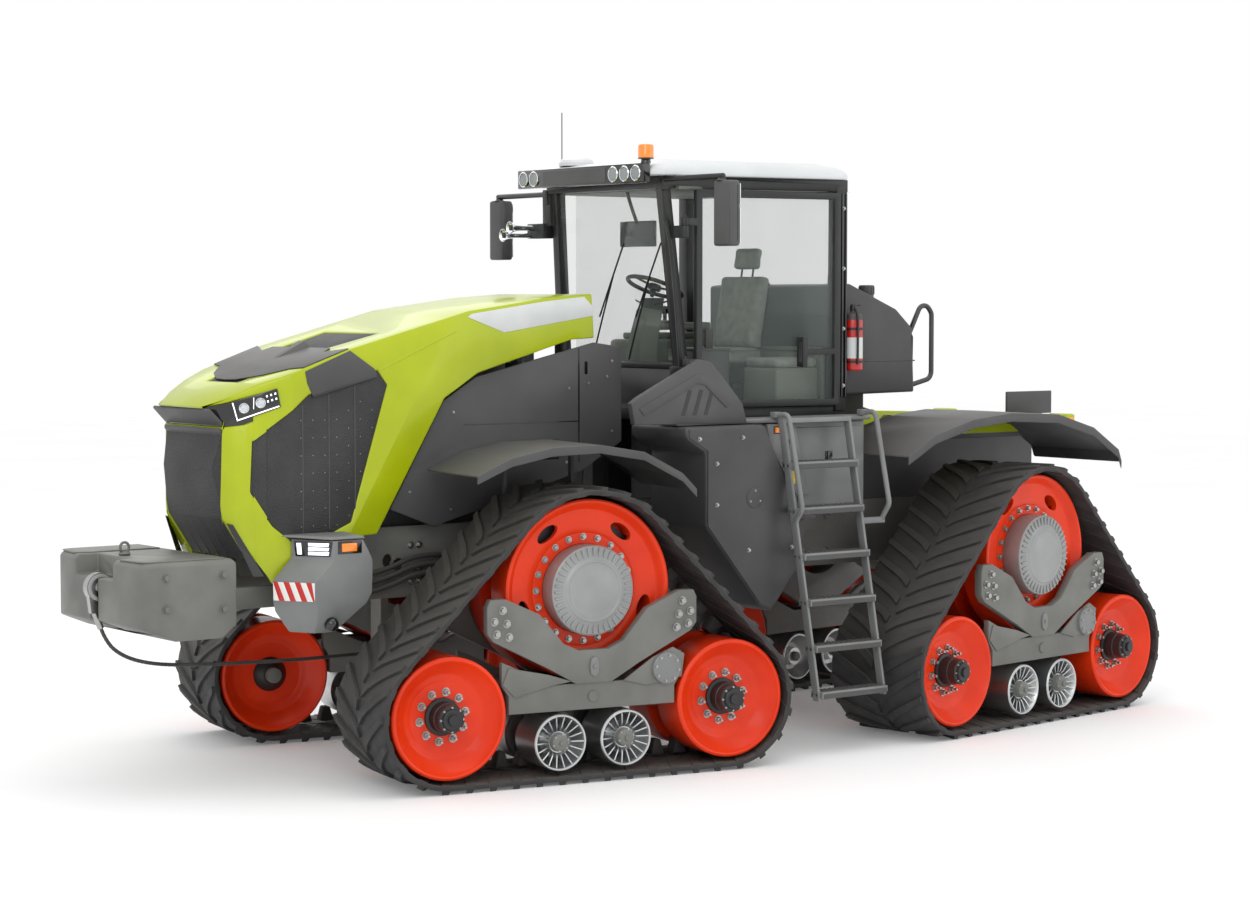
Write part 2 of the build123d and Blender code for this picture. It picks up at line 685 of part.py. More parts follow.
def cab_frame():
    """Cab floor, sills, pillars, header ring, rear wall, dash and steering column."""
    plan = [(cab_front_bottom + 30, cab_front_half_low + 20), (cab_rear - 20, cab_rear_half - 20),
            (cab_rear - 20, -cab_rear_half + 20), (cab_front_bottom + 30, -cab_front_half_low - 20)]
    frame = deck_plate(plan, cab_floor - 30, cab_floor + 50)
    header = [(cab_front_top + 40, cab_front_half + 30), (cab_rear - 20, cab_rear_half + 10),
              (cab_rear - 20, -cab_rear_half - 10), (cab_front_top + 40, -cab_front_half - 30)]
    hole = [(cab_front_top - 40, cab_front_half - 50), (cab_rear + 70, cab_rear_half - 70),
            (cab_rear + 70, -cab_rear_half + 70), (cab_front_top - 40, -cab_front_half + 50)]
    frame += deck_plate(header, cab_pillar_top - 40, cab_pillar_top + 40) - deck_plate(hole, 3500, 3800)
    low = cab_floor + 20
    for side in (1, -1):
        frame += post(cab_front_bottom - 20, cab_front_top - 20, (cab_front_half_low - 30) * side,
                      (cab_front_half - 20) * side, low, cab_pillar_top, 70)
        frame += post(cab_rear + 25, cab_rear + 25, (cab_rear_half - 50) * side, (cab_rear_half - 40) * side,
                      low, cab_pillar_top, 90)
    frame += block(cab_rear - 20, cab_rear + 60, -780, 780, cab_floor, cab_floor + 420)
    frame += block(cab_front_bottom - 100, cab_front_bottom + 20, -630, 630, cab_floor, 2460)
    frame += block(330, 560, -150, 150, cab_floor, 2300)
    frame += post(455, 340, 0, 0, 2250, 2905, 110)
    frame += steering_tilt * Pos(0, 0, -32) * Cylinder(14, 80)
    frame += block(180, 420, 420, 620, cab_floor, 2560)
    frame += block(-330, -60, -360, 360, cab_floor, 2330)
    for side in (1, -1):
        frame += block(-500, -300, (rail_outer - 60) * side, (rail_outer + 0) * side, rail_top, cab_floor)
        frame += block(300, 500, (rail_outer - 60) * side, (rail_outer + 0) * side, rail_top, cab_floor)
    hinge_x = cab_front_bottom - 20
    for z in (2420, 3330):
        share = (z - low) / (cab_pillar_top - low)
        x = hinge_x + share * (cab_front_top - cab_front_bottom)
        frame += block(x - 20, door_hinge_x + 30, cab_front_half_low - 60 - 90 * share, door_hinge_y, z - 40, z + 40)
        frame += rod_z(door_hinge_x, door_hinge_y, 26, z - 40, z + 40)
        frame += rod_z(door_hinge_x, door_hinge_y, hinge_pin_radius, z - 40, z + 110)
    return frame


def cab_glass():
    """Windscreen, right side window and rear window."""
    glass = []
    low = cab_floor + 330
    high = cab_pillar_top - 40
    screen = front_pane(low, high)
    glass.append(screen)
    inner_front = cab_front_bottom - 90
    inner_rear = cab_rear + 100
    y_front = cab_half(inner_front, 2900)
    y_rear = cab_half(inner_rear, 2900)
    pane = deck_plate([(inner_front, -y_front + 12), (inner_rear, -y_rear + 12),
                       (inner_rear, -y_rear + 12 + glass_wall), (inner_front, -y_front + 12 + glass_wall)],
                      cab_floor + 50, high)
    glass.append(pane)
    glass.append(block(cab_rear + 10, cab_rear + 10 + glass_wall, -cab_rear_half + 105, cab_rear_half - 105,
                       cab_floor + 420, high))
    return glass


def front_pane(low, high):
    """The leaning windscreen between the front pillars."""
    half = cab_front_half - 62
    x_low = cab_front_edge(low) - 10
    x_high = cab_front_edge(high) - 10
    outline = [(x_low, low), (x_low + glass_wall, low), (x_high + glass_wall, high), (x_high, high)]
    return side_plate(outline, -half, half)


def cab_roof():
    """The roof pan with its crowned top."""
    plan = [(900, 700), (820, 745), (-600, cab_rear_half + 20), (-700, cab_rear_half - 60),
            (-700, -cab_rear_half + 60), (-600, -cab_rear_half - 20), (820, -745), (900, -700)]
    roof = deck_plate(plan, cab_pillar_top + 40, roof_top - 30)
    crown = [(x * 0.93, y * 0.9) for x, y in plan]
    roof += deck_plate(crown, roof_top - 31, roof_top)
    roof += rod_z(700, -380, 110, roof_top - 10, roof_top + 55)
    roof += rod_z(690, -560, 9, roof_top - 10, 4160)
    return roof


def roof_lights():
    """The front light bar, and the beacon on its stalk at the left corner."""
    bar = block(900, 960, -700, 700, 3640, 3765)
    beacon = rod_z(930, 690, 26, 3765, 3790) + rod_z(930, 690, 48, 3790, 3880)
    return [bar + beacon]


door_hinge_x = 650.0
door_hinge_y = 738.0
door_front = 560.0
door_rear = cab_rear + 80
door_low = cab_floor + 60
door_high = cab_pillar_top - 50
door_rail = 36.0
door_stile = 45.0
door_pane = 14.0


def door_y(x):
    """The door plane's distance from the centreline."""
    share = (x - door_rear) / (door_front - door_rear)
    return cab_rear_half + 20 + share * (cab_front_half_low + 22 - cab_rear_half - 20)


def door_slab(x0, x1, z0, z1, near, far):
    """A slab that follows the door, between two depths from its inner face."""
    outline = [(x0, door_y(x0) + near), (x1, door_y(x1) + near), (x1, door_y(x1) + far), (x0, door_y(x0) + far)]
    return deck_plate(outline, z0, z1)


def door_frame():
    """The door's tube frame, its hinge straps and its handle."""
    edge = door_stile
    frame = door_slab(door_rear, door_front, door_low, door_high, 0, door_rail)
    frame -= door_slab(door_rear + edge, door_front - edge, door_low + edge, door_high - edge, -1, door_rail + 1)
    bar = door_slab(door_rear + edge - 5, -215, 2530, 2570, door_pane, door_rail)
    grip = door_slab(-250, -215, 2450, 2650, door_pane, 80)
    frame += bar + grip - door_slab(-255, -210, 2485, 2615, door_rail, door_rail + 26)
    for z in (2420, 3330):
        knuckle_low = z + 40 + face_gap
        strap = rod_z(door_hinge_x, door_hinge_y, 26, knuckle_low, knuckle_low + 50)
        strap += block(door_front - 30, door_hinge_x, door_hinge_y - 12, door_hinge_y + 12,
                       knuckle_low, knuckle_low + 50)
        strap -= rod_z(door_hinge_x, door_hinge_y, hinge_pin_radius + shaft_clearance, z, z + 200)
        frame += strap
    return frame


def door_glass():
    """The door's pane."""
    edge = door_stile
    return door_slab(door_rear + edge, door_front - edge, door_low + edge, door_high - edge, 0, door_pane)


mirror_pin_x = 745.0
mirror_pin_y = 1230.0
mirror_arm_z = 3668.0


def mirror_head(left):
    """A mirror head hanging on its pin, which folds about the pin."""
    head = block(mirror_pin_x - 75, mirror_pin_x + 25, mirror_pin_y - 70, mirror_pin_y + 110, 3230, 3640)
    head = chamfer(head.edges().filter_by(Axis.Z), 22)
    head += rod_z(mirror_pin_x, mirror_pin_y, 22, 3630, mirror_arm_z - 18 - face_gap)
    head -= rod_z(mirror_pin_x, mirror_pin_y, 10 + shaft_clearance, 3600, 3700)
    if left:
        return head
    return mirror(Pos(0, 0, -60) * head, about=Plane.XZ)


def mirror_arms():
    """The fixed arms that carry the mirror heads, with the horns on the right one."""
    horn = rod_x(-760, 3380, 16, 760, 980) + rod_x(-800, 3330, 16, 760, 1010)
    horn += block(700, 790, -830, -640, 3310, 3410)
    arms = horn + block(700, 760, -690, -600, 3390, 3640)
    for side, drop in ((1, 0), (-1, -60)):
        z = mirror_arm_z + drop
        arm = rod_y(mirror_pin_x, z, 18, 640 * side, (mirror_pin_y + 20) * side)
        arm += rod_z(mirror_pin_x, mirror_pin_y * side, 10, z - 60, z)
        arm += block(mirror_pin_x - 30, mirror_pin_x + 30, (cab_front_half + 15) * side, 660 * side, z - 70, z + 20)
        arms += arm
    return arms


def seat():
    """The driver's seat on its pedestal, with armrest and headrest."""
    base = rod_z(-195, 0, 110, 2330 + face_gap, 2440)
    cushion = block(-440, 60, -250, 250, 2440, 2570)
    back = side_plate([(-440, 2560), (-330, 2560), (-420, 3080), (-530, 3080)], -240, 240)
    head = side_plate([(-500, 3090), (-430, 3090), (-450, 3250), (-530, 3250)], -130, 130)
    neck = side_plate([(-490, 3070), (-465, 3070), (-470, 3100), (-495, 3100)], -60, 60)
    arm = block(-380, 60, -330, -260, 2680, 2740) + block(-380, -320, -330, -240, 2500, 2700)
    return base + cushion + back + neck + head + arm


def steering_wheel():
    """The steering wheel on the column's stub."""
    wheel = Torus(190, 15) + Cylinder(45, 40)
    for index in range(3):
        wheel += Rot(0, 0, 120 * index) * Pos(110, 0, 0) * Box(160, 26, 12)
    return steering_tilt * (wheel - Cylinder(14 + shaft_clearance, 60))


# ======================= tank, ladder, platform, rear =======================

tank_outline = [
    (1000, 2095), (1000, 2020), (840, 1930), (840, 1460), (400, 930), (300, 890), (80, 1150), (10, 1403), (360, 2095),
]
tank_wall = 6.0


def fuel_tanks():
    """A hollow fuel tank on each side, hung from the frame."""
    tanks = []
    face = make_face(Polyline(*tank_outline, close=True))
    core = offset(face, -tank_wall, kind=Kind.INTERSECTION)
    tank = extrude(Plane.XZ.offset(-tank_outer) * face, tank_outer - tank_inner)
    tank -= extrude(Plane.XZ.offset(-tank_outer + tank_wall) * core, tank_outer - tank_inner - 2 * tank_wall)
    tank += block(500, 620, rail_outer, tank_inner + tank_wall / 2, 1360, 1460)
    for side in both_sides(tank):
        tanks.append(side)
    return tanks


def ladder():
    """A top step and six treads between two stringers, with handrails."""
    low = 340.0

    def stringer_y(z):
        return deck_edge + 62 + (cab_floor - z) * 0.2

    top = stringer_y(cab_floor)
    parts = block(ladder_rear, ladder_front, deck_edge, top + 30, cab_floor - 30, cab_floor)
    for x in (ladder_front, ladder_rear):
        outline = [(top - 30, cab_floor), (top + 30, cab_floor), (stringer_y(low) + 30, low),
                   (stringer_y(low) - 30, low)]
        parts += front_plate(outline, x - 10, x + 10)
    for z in step_heights:
        y = stringer_y(z)
        parts += block(ladder_rear, ladder_front, y - 55, y + 60, z - 22, z + 22)
    for x in (ladder_front, ladder_rear - 190):
        route = [(x, deck_edge, cab_floor + 20), (x, 1230, cab_floor + 28), (x, 1370, 1560), (x, 1290, 1450)]
        parts += tube(route, 17, 50)
        parts += block(x - 22, x + 22, deck_edge - 30, deck_edge + 30, cab_floor, cab_floor + 40)
    parts += block(ladder_rear - 210, ladder_rear, 1268, 1308, 1430, 1470)
    return parts


def platform():
    """The walkway with its storage boxes and the slotted visor panel in front of the door."""
    deck = block(-640, 990, 895, deck_edge, cab_floor - 30, cab_floor)
    deck += side_plate([(320, 2100), (15, rail_top), (-640, rail_top), (-640, 2100)], 620, 1030)
    visor = [(1354, 2251), (1300, 2285), (813, 2513), (720, 2495), (470, 2230), (430, 2101), (1327, 2119)]
    deck += side_plate(visor, 1060, 1100)
    deck += block(-560, 0, rail_outer, 640, rail_top - 80, rail_top + 1)
    return deck


def platform_right():
    """The matching shelf on the right side, which carries the battery box."""
    shelf = side_plate([(320, 2090), (15, rail_top), (-640, rail_top), (-640, 2090)], -deck_edge, -620)
    shelf += block(-560, 0, -640, -rail_outer, rail_top - 80, rail_top + 1)
    return shelf


def rear_tank():
    """The tank behind the cab with its filler caps, guard rail and fire extinguisher."""
    body = side_plate([(-660, 2250), (-660, 2990), (-760, 3000), (-1180, 2830), (-1330, 2700), (-1350, 2260)],
                      -640, 760)
    body += block(-1300, -700, -300, 300, rear_deck, 2260)
    body += rod_z(-820, 520, 42, 2950, 3060) + rod_z(-960, 400, 50, 2900, 3040) + rod_z(-1080, 560, 50, 2850, 2990)
    route = [(-1345, 700, 2650), (-1480, 700, 2900), (-1560, 700, 2800), (-1560, 700, 2350), (-1345, 700, 2300)]
    body += tube(route, 17, 60)
    bottle = rod_z(-720, 830, 62, 2420, 2800) + rod_z(-720, 830, 22, 2800, 2860)
    bottle += block(-740, -700, 760, 775, 2480, 2740)
    return [body, bottle]


rear_fender_top = [(1140, 1870), (900, 2000), (550, 2095), (200, 2130), (-250, 2110), (-600, 2010), (-850, 1850),
                   (-880, 1770)]


def rear_body():
    """Rear deck, fixed rear fenders over the belts, and the rear lamps."""
    shift = wheelbase / 2
    upper = [(x - shift, z) for x, z in rear_fender_top]
    lower = [(x - shift, z - fender_wall) for x, z in reversed(rear_fender_top)]
    rim = [(x - shift, z - 60) for x, z in reversed(rear_fender_top)]
    body = block(-2900, -660, -360, 360, rail_top, 1930)
    body += block(-2950, -1000, -640, 640, 1915, rear_deck)
    body += side_plate([(-2700, 1950), (-1100, 1950), (-1250, 2100), (-2650, 2050)], 560, 640)
    body += side_plate([(-2700, 1950), (-1100, 1950), (-1250, 2100), (-2650, 2050)], -640, -560)
    for side in (1, -1):
        sheet = side_plate(upper + lower, 600, 1450) + side_plate(upper + rim, 1438, 1450)
        body += sheet if side == 1 else mirror(sheet, about=Plane.XZ)
        body += block(-2990, -2900, 520 * side, 700 * side, 1940, 2060)
    body += block(-3060, -2600, 380, 400, 2060, 2225)
    body += block(-2960, -2700, 380, 400, 1950, 2070)
    return body


# ======================= assemble and write =======================

def machine_nodes():
    """Every fixed or hinged piece of the machine that isn't part of a track unit."""
    return {
        "chassis_frame": chassis_frame(),
        "axle_housings": axle_housings(),
        "driveline": driveline() + [hood_stand()],
        "front_weight": front_weight(),
        "tow_eye": tow_eye(),
        "tow_rope": tow_rope(),
        "hood_shell": hood_shell(),
        "hood_grilles": hood_grilles(),
        "headlights": headlights(),
        "engine_side_panels": engine_side_panels(),
        "corner_lamp_boxes": corner_lamp_boxes(),
        "cab_frame": cab_frame() + mirror_arms(),
        "cab_glass": cab_glass(),
        "cab_roof": cab_roof(),
        "roof_lights": roof_lights(),
        "door_frame": door_frame(),
        "door_glass": door_glass(),
        "mirror_left": mirror_head(True),
        "mirror_right": mirror_head(False),
        "seat": seat(),
        "steering_wheel": steering_wheel(),
        "fuel_tanks": fuel_tanks(),
        "ladder": ladder(),
        "platform": [platform(), platform_right()],
        "rear_tank": rear_tank(),
        "rear_body": rear_body(),
    }


def unit_nodes():
    """The pieces of the four track units, each from one left-hand pattern."""
    pattern = {
        "belt": belt(),
        "undercarriage": undercarriage(),
        "drive_wheel": drive_wheel(),
        "idler_front": idler(idler_offset),
        "idler_rear": idler(-idler_offset),
        "roller_front": roller(roller_offset),
        "roller_rear": roller(-roller_offset),
        "knuckle": knuckle(),
    }
    fender = front_fender() - front_sheet_cut()
    nodes = {}
    for corner, front, left in (("fl", True, True), ("fr", True, False), ("rl", False, True), ("rr", False, False)):
        for name, shape in pattern.items():
            pieces = shape if isinstance(shape, list) else [shape]
            nodes[name + "_" + corner] = [place_unit(piece, front, left) for piece in pieces]
        if front:
            nodes["fender_" + corner] = place_unit(fender, front, left)
    return nodes


def main():
    """Build every node, centre the machine on X, and write one file each."""
    os.makedirs("parts", exist_ok=True)
    nodes = machine_nodes()
    nodes.update(unit_nodes())
    solids = {}
    for name, shape in nodes.items():
        pieces = shape if isinstance(shape, list) else [shape]
        solids[name] = [solid for piece in pieces for solid in piece.solids()]
    on_rope = ("tow_rope", "tow_eye")
    boxes = [Compound(children=found).bounding_box() for name, found in solids.items() if name not in on_rope]
    middle = (min(box.min.X for box in boxes) + max(box.max.X for box in boxes)) / 2
    print("shift along X", round(-middle, 3))
    for name, found in solids.items():
        moved = [Pos(-middle, 0, 0) * solid for solid in found]
        export_step(Compound(moved), "parts/" + name + ".step")


main()
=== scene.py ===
import json
import math

import bpy
from mathutils import Matrix, Vector


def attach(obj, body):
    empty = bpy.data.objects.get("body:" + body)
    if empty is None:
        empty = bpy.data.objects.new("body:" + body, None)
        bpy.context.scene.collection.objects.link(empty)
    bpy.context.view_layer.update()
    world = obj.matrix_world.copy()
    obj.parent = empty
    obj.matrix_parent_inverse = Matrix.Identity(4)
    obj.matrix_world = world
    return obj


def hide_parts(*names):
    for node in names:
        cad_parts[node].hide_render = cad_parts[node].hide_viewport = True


# A four-track, all-wheel-steer field tractor. Metres, +X forward, +Y to the driver's left.
# Pieces are drawn about the middle of the wheelbase, and MACHINE carries them to the frame's origin.

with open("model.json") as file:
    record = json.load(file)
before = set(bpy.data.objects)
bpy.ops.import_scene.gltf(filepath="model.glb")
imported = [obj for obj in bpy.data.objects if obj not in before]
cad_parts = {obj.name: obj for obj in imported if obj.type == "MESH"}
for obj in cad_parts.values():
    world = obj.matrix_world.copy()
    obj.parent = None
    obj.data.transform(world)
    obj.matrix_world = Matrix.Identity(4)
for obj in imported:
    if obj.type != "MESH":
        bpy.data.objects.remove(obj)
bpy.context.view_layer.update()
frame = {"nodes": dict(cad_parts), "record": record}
record = frame["record"]
joints = {joint["name"]: joint for joint in record["behaviour"]["joints"]}
HALF_WHEELBASE = 1.8
KINGPIN = 0.8
OUTBOARD = 0.32
AXLE = 1.153
SHIFT = joints["steer_fl"]["pos_m"][0] - HALF_WHEELBASE
MACHINE = Matrix.Translation((SHIFT, 0, 0))
STEER = {"f": math.radians(-9.9), "r": math.radians(8.3)}
CORNERS = {"fl": (1, 1), "fr": (1, -1), "rl": (-1, 1), "rr": (-1, -1)}
MM = 0.001


def corner_matrix(corner):
    """Carries a left-hand track unit piece, drawn about its belt's centre, to one corner."""
    along, side = CORNERS[corner]
    place = Matrix.Translation((along * HALF_WHEELBASE + SHIFT, side * KINGPIN, 0))
    place = place @ Matrix.Rotation(STEER[corner[0]], 4, "Z")
    return place @ Matrix.Diagonal((1, side, 1, 1)) @ Matrix.Translation((0, OUTBOARD, 0))


# ======================= bench: how pieces are made =======================

def clear_bench():
    """Leave edit mode and deselect everything."""
    if bpy.context.mode != "OBJECT":
        bpy.ops.object.mode_set(mode="OBJECT")
    bpy.ops.object.select_all(action="DESELECT")


def hold(piece):
    """Make one piece the only thing selected."""
    clear_bench()
    piece.select_set(True)
    bpy.context.view_layer.objects.active = piece
    return piece


def named(name):
    """Name the primitive that was just added."""
    piece = bpy.context.active_object
    piece.name = name
    piece.data.name = name
    bpy.ops.object.transform_apply(location=True, rotation=True, scale=True)
    return piece


def slab(name, low, high):
    """A block between two corners."""
    clear_bench()
    middle = [(a + b) / 2 for a, b in zip(low, high)]
    bpy.ops.mesh.primitive_cube_add(size=1, location=middle)
    bpy.context.active_object.scale = [abs(b - a) for a, b in zip(low, high)]
    return named(name)


TURNS = {"X": (0, math.pi / 2, 0), "Y": (math.pi / 2, 0, 0), "Z": (0, 0, 0)}


def rod(name, centre, radius, depth, axis="Y", sides=32, top=None):
    """A round bar, or a cone where top gives the far radius."""
    clear_bench()
    if top is None:
        bpy.ops.mesh.primitive_cylinder_add(vertices=sides, radius=radius, depth=depth, location=centre,
                                            rotation=TURNS[axis])
    else:
        bpy.ops.mesh.primitive_cone_add(vertices=sides, radius1=radius, radius2=top, depth=depth,
                                        location=centre, rotation=TURNS[axis])
    return named(name)


def on_plane(axis, a, b, depth):
    """A point from two flat coordinates and a depth: plates across X, Y or Z."""
    if axis == "Y":
        return Vector((a, depth, b))
    if axis == "X":
        return Vector((depth, a, b))
    return Vector((a, b, depth))


def loop_blank(name, points, filled):
    """A ring of vertices laid on the given points."""
    clear_bench()
    bpy.ops.mesh.primitive_circle_add(vertices=len(points), fill_type="NGON" if filled else "NOTHING")
    piece = named(name)
    for vertex, point in zip(piece.data.vertices, points):
        vertex.co = point
    piece.data.update()
    return piece


def square_up():
    """Merge doubles and turn all faces outwards, in edit mode."""
    bpy.ops.mesh.select_all(action="SELECT")
    bpy.ops.mesh.remove_doubles(threshold=0.00002)
    bpy.ops.mesh.normals_make_consistent(inside=False)
    bpy.ops.object.mode_set(mode="OBJECT")


def plate(name, outline, axis, near, far):
    """A flat plate cut to an outline and extruded to its thickness."""
    piece = loop_blank(name, [on_plane(axis, a, b, near) for a, b in outline], True)
    hold(piece)
    bpy.ops.object.mode_set(mode="EDIT")
    bpy.ops.mesh.select_all(action="SELECT")
    reach = on_plane(axis, 0, 0, far - near)
    bpy.ops.mesh.extrude_region_move(TRANSFORM_OT_translate={"value": reach})
    square_up()
    return piece


def turned(name, profile, centre, axis="Y", sides=48):
    """A body turned about an axis from a profile of (radius, distance along the axis)."""
    cx, cy, cz = centre
    if axis == "Y":
        points = [(cx + r, cy + t, cz) for r, t in profile]
        spindle = (0, 1, 0)
    elif axis == "X":
        points = [(cx + t, cy + r, cz) for r, t in profile]
        spindle = (1, 0, 0)
    else:
        points = [(cx + r, cy, cz + t) for r, t in profile]
        spindle = (0, 0, 1)
    piece = loop_blank(name, points, False)
    hold(piece)
    bpy.ops.object.mode_set(mode="EDIT")
    bpy.ops.mesh.select_all(action="SELECT")
    bpy.ops.mesh.spin(steps=sides, angle=2 * math.pi, center=centre, axis=spindle)
    square_up()
    return piece


def applied(piece, kind, **settings):
    """Add a modifier with its settings and apply it."""
    hold(piece)
    modifier = piece.modifiers.new(kind.title(), kind)
    for key, value in settings.items():
        setattr(modifier, key, value)
    bpy.ops.object.modifier_apply(modifier=modifier.name)
    return piece


def rounded(piece, width, segments=2, angle=30):
    """Break the sharp edges."""
    return applied(piece, "BEVEL", width=width, segments=segments, limit_method="ANGLE",
                   angle_limit=math.radians(angle), use_clamp_overlap=True)


def twin(piece, name, matrix):
    """A copy with its own mesh, carried by a matrix."""
    copy = bpy.data.objects.new(name, piece.data.copy())
    copy.data.name = name
    bpy.context.scene.collection.objects.link(copy)
    copy.data.transform(matrix)
    if matrix.determinant() < 0:
        copy.data.flip_normals()
    return copy


def ring_of(piece, count, centre, axis="Y", start=0.0):
    """Copies of a piece round an axis, joined into one."""
    parts = [piece]
    away = Matrix.Translation(centre)
    for index in range(1, count):
        turn = Matrix.Rotation(2 * math.pi * index / count, 4, axis)
        parts.append(twin(piece, f"{piece.name}_{index}", away @ turn @ away.inverted()))
    if start:
        turn = away @ Matrix.Rotation(start, 4, axis) @ away.inverted()
        for part in parts:
            part.data.transform(turn)
    return joined(parts)


def row_of(piece, steps):
    """Copies of a piece moved by each step, joined into one."""
    parts = [twin(piece, f"{piece.name}_{index}", Matrix.Translation(step)) for index, step in enumerate(steps)]
    name = piece.name
    bpy.data.objects.remove(piece)
    whole = joined(parts)
    whole.name = name
    return whole


def joined(parts):
    """Join several pieces into the first."""
    clear_bench()
    for part in parts:
        part.select_set(True)
    bpy.context.view_layer.objects.active = parts[0]
    if len(parts) > 1:
        bpy.ops.object.join()
    return parts[0]


def mirrored(piece):
    """Add the piece's mirror image across the machine's centre plane."""
    return joined([piece, twin(piece, piece.name + "_other", Matrix.Diagonal((1, -1, 1, 1)))])


def pipe(name, points, radius, sides=12, closed=False):
    """A bent tube through the points, with smooth corners."""
    curve = bpy.data.curves.new(name, "CURVE")
    curve.dimensions = "3D"
    curve.bevel_depth = radius
    curve.bevel_resolution = max(1, sides // 4)
    curve.use_fill_caps = not closed
    curve.resolution_u = 8
    spline = curve.splines.new("NURBS")
    spline.points.add(len(points) - 1)
    for knot, point in zip(spline.points, points):
        knot.co = (*point, 1)
    spline.order_u = 3
    spline.use_cyclic_u = closed
    spline.use_endpoint_u = not closed
    carrier = bpy.data.objects.new(name + "_line", curve)
    bpy.context.scene.collection.objects.link(carrier)
    hold(carrier)
    bpy.ops.object.convert(target="MESH")
    piece = bpy.context.active_object
    piece.name = name
    piece.data.name = name
    hold(piece)
    bpy.ops.object.mode_set(mode="EDIT")
    square_up()
    return piece


def smooth(piece, angle=32):
    hold(piece)
    bpy.ops.object.shade_smooth_by_angle(angle=math.radians(angle))
    return piece


def finished(piece, body, finish, slot=None, replaces=(), place=MACHINE, angle=32):
    """Paint a piece, carry it to its place and let it ride on its body."""
    piece.data.materials.clear()
    piece.data.materials.append(finish)
    smooth(piece, angle)
    piece.data.transform(place)
    if place.determinant() < 0:
        piece.data.flip_normals()
    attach(piece, body)
    for node in replaces:
        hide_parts(node)
    return piece


def body_of(node):
    for body, members in record["behaviour"]["bodies"].items():
        if node in members:
            return body
    return None


def softened(node, name, width, finish, slot, angle=30):
    """A CAD node's own shape with its edges broken, standing for that node."""
    piece = bpy.data.objects.new(name, frame["nodes"][node].data.copy())
    bpy.context.scene.collection.objects.link(piece)
    hold(piece)
    bpy.ops.object.mode_set(mode="EDIT")
    bpy.ops.mesh.select_all(action="SELECT")
    bpy.ops.mesh.remove_doubles(threshold=0.00002)
    bpy.ops.mesh.dissolve_limited(angle_limit=math.radians(1.5))
    bpy.ops.object.mode_set(mode="OBJECT")
    applied(piece, "BEVEL", width=width, segments=2, limit_method="ANGLE", angle_limit=math.radians(angle),
            use_clamp_overlap=False)
    return finished(piece, body_of(node), finish, slot, (node,), Matrix.Identity(4))


# ======================= finishes =======================

def tint(code, alpha=1.0):
    """An sRGB hex colour as linear numbers."""
    values = []
    for start in (1, 3, 5):
        share = int(code[start:start + 2], 16) / 255
        values.append(share / 12.92 if share <= 0.04045 else ((share + 0.055) / 1.055) ** 2.4)
    return (*values, alpha)


def add(tree, kind, settings=None, links=None):
    """Add a shader node with its settings and its incoming links."""
    node = tree.nodes.new(kind)
    for key, value in (settings or {}).items():
        if key in node.inputs:
            node.inputs[key].default_value = value
        else:
            setattr(node, key, value)
    for key, source in (links or {}).items():
        tree.links.new(source, node.inputs[key])
    return node


def blank_finish(name):
    material = bpy.data.materials.new(name)
    material.use_nodes = True
    tree = material.node_tree
    shader = tree.nodes["Principled BSDF"]
    where = add(tree, "ShaderNodeTexCoord").outputs["Object"]
    return material, tree, shader, where


def coated(name, colour, shade, rough, grain_mm, relief, blotch_mm=350, metal=0.0, coat=0.0, coat_rough=0.08,
           stretch=(1, 1, 1), cells=False, dust=0.0, ior=1.5, rough_swing=0.1):
    """A surface with a fine grain in relief, broad blotches between two shades, and dust on what faces up."""
    material, tree, shader, where = blank_finish(name)
    blotch = add(tree, "ShaderNodeTexNoise", {"Scale": 1000 / blotch_mm, "Detail": 5.0}, {"Vector": where})
    spread = add(tree, "ShaderNodeMapRange", {"From Min": 0.35, "From Max": 0.68}, {"Value": blotch.outputs["Fac"]})
    mix = add(tree, "ShaderNodeMix", {"data_type": "RGBA"}, {"Factor": spread.outputs["Result"]})
    mix.inputs[6].default_value = tint(colour)
    mix.inputs[7].default_value = tint(shade)
    colour_out = mix.outputs[2]
    scaled = add(tree, "ShaderNodeMapping", {"Scale": stretch}, {"Vector": where})
    kind = "ShaderNodeTexVoronoi" if cells else "ShaderNodeTexNoise"
    grain = add(tree, kind, {"Scale": 1000 / grain_mm}, {"Vector": scaled.outputs["Vector"]})
    height = grain.outputs["Distance" if cells else "Fac"]
    if dust:
        facing = add(tree, "ShaderNodeNewGeometry").outputs["Normal"]
        parts = add(tree, "ShaderNodeSeparateXYZ", None, {"Vector": facing})
        fall = add(tree, "ShaderNodeMapRange", {"From Min": 0.1, "From Max": 1.0, "To Max": dust},
                   {"Value": parts.outputs["Z"]})
        patch = add(tree, "ShaderNodeMath", {"operation": "MULTIPLY"},
                    {0: fall.outputs["Result"], 1: blotch.outputs["Fac"]})
        dusty = add(tree, "ShaderNodeMix", {"data_type": "RGBA"}, {"Factor": patch.outputs["Value"]})
        tree.links.new(colour_out, dusty.inputs[6])
        dusty.inputs[7].default_value = tint("#a7a196")
        colour_out = dusty.outputs[2]
    tree.links.new(colour_out, shader.inputs["Base Color"])
    rough_range = add(tree, "ShaderNodeMapRange", {"To Min": max(0.02, rough - rough_swing), "To Max": rough + rough_swing},
                      {"Value": blotch.outputs["Fac"]})
    tree.links.new(rough_range.outputs["Result"], shader.inputs["Roughness"])
    bump = add(tree, "ShaderNodeBump", {"Strength": relief, "Distance": grain_mm * MM * 0.5}, {"Height": height})
    tree.links.new(bump.outputs["Normal"], shader.inputs["Normal"])
    shader.inputs["Metallic"].default_value = metal
    shader.inputs["Coat Weight"].default_value = coat
    shader.inputs["Coat Roughness"].default_value = coat_rough
    if not metal:
        shader.inputs["IOR"].default_value = ior
    return material


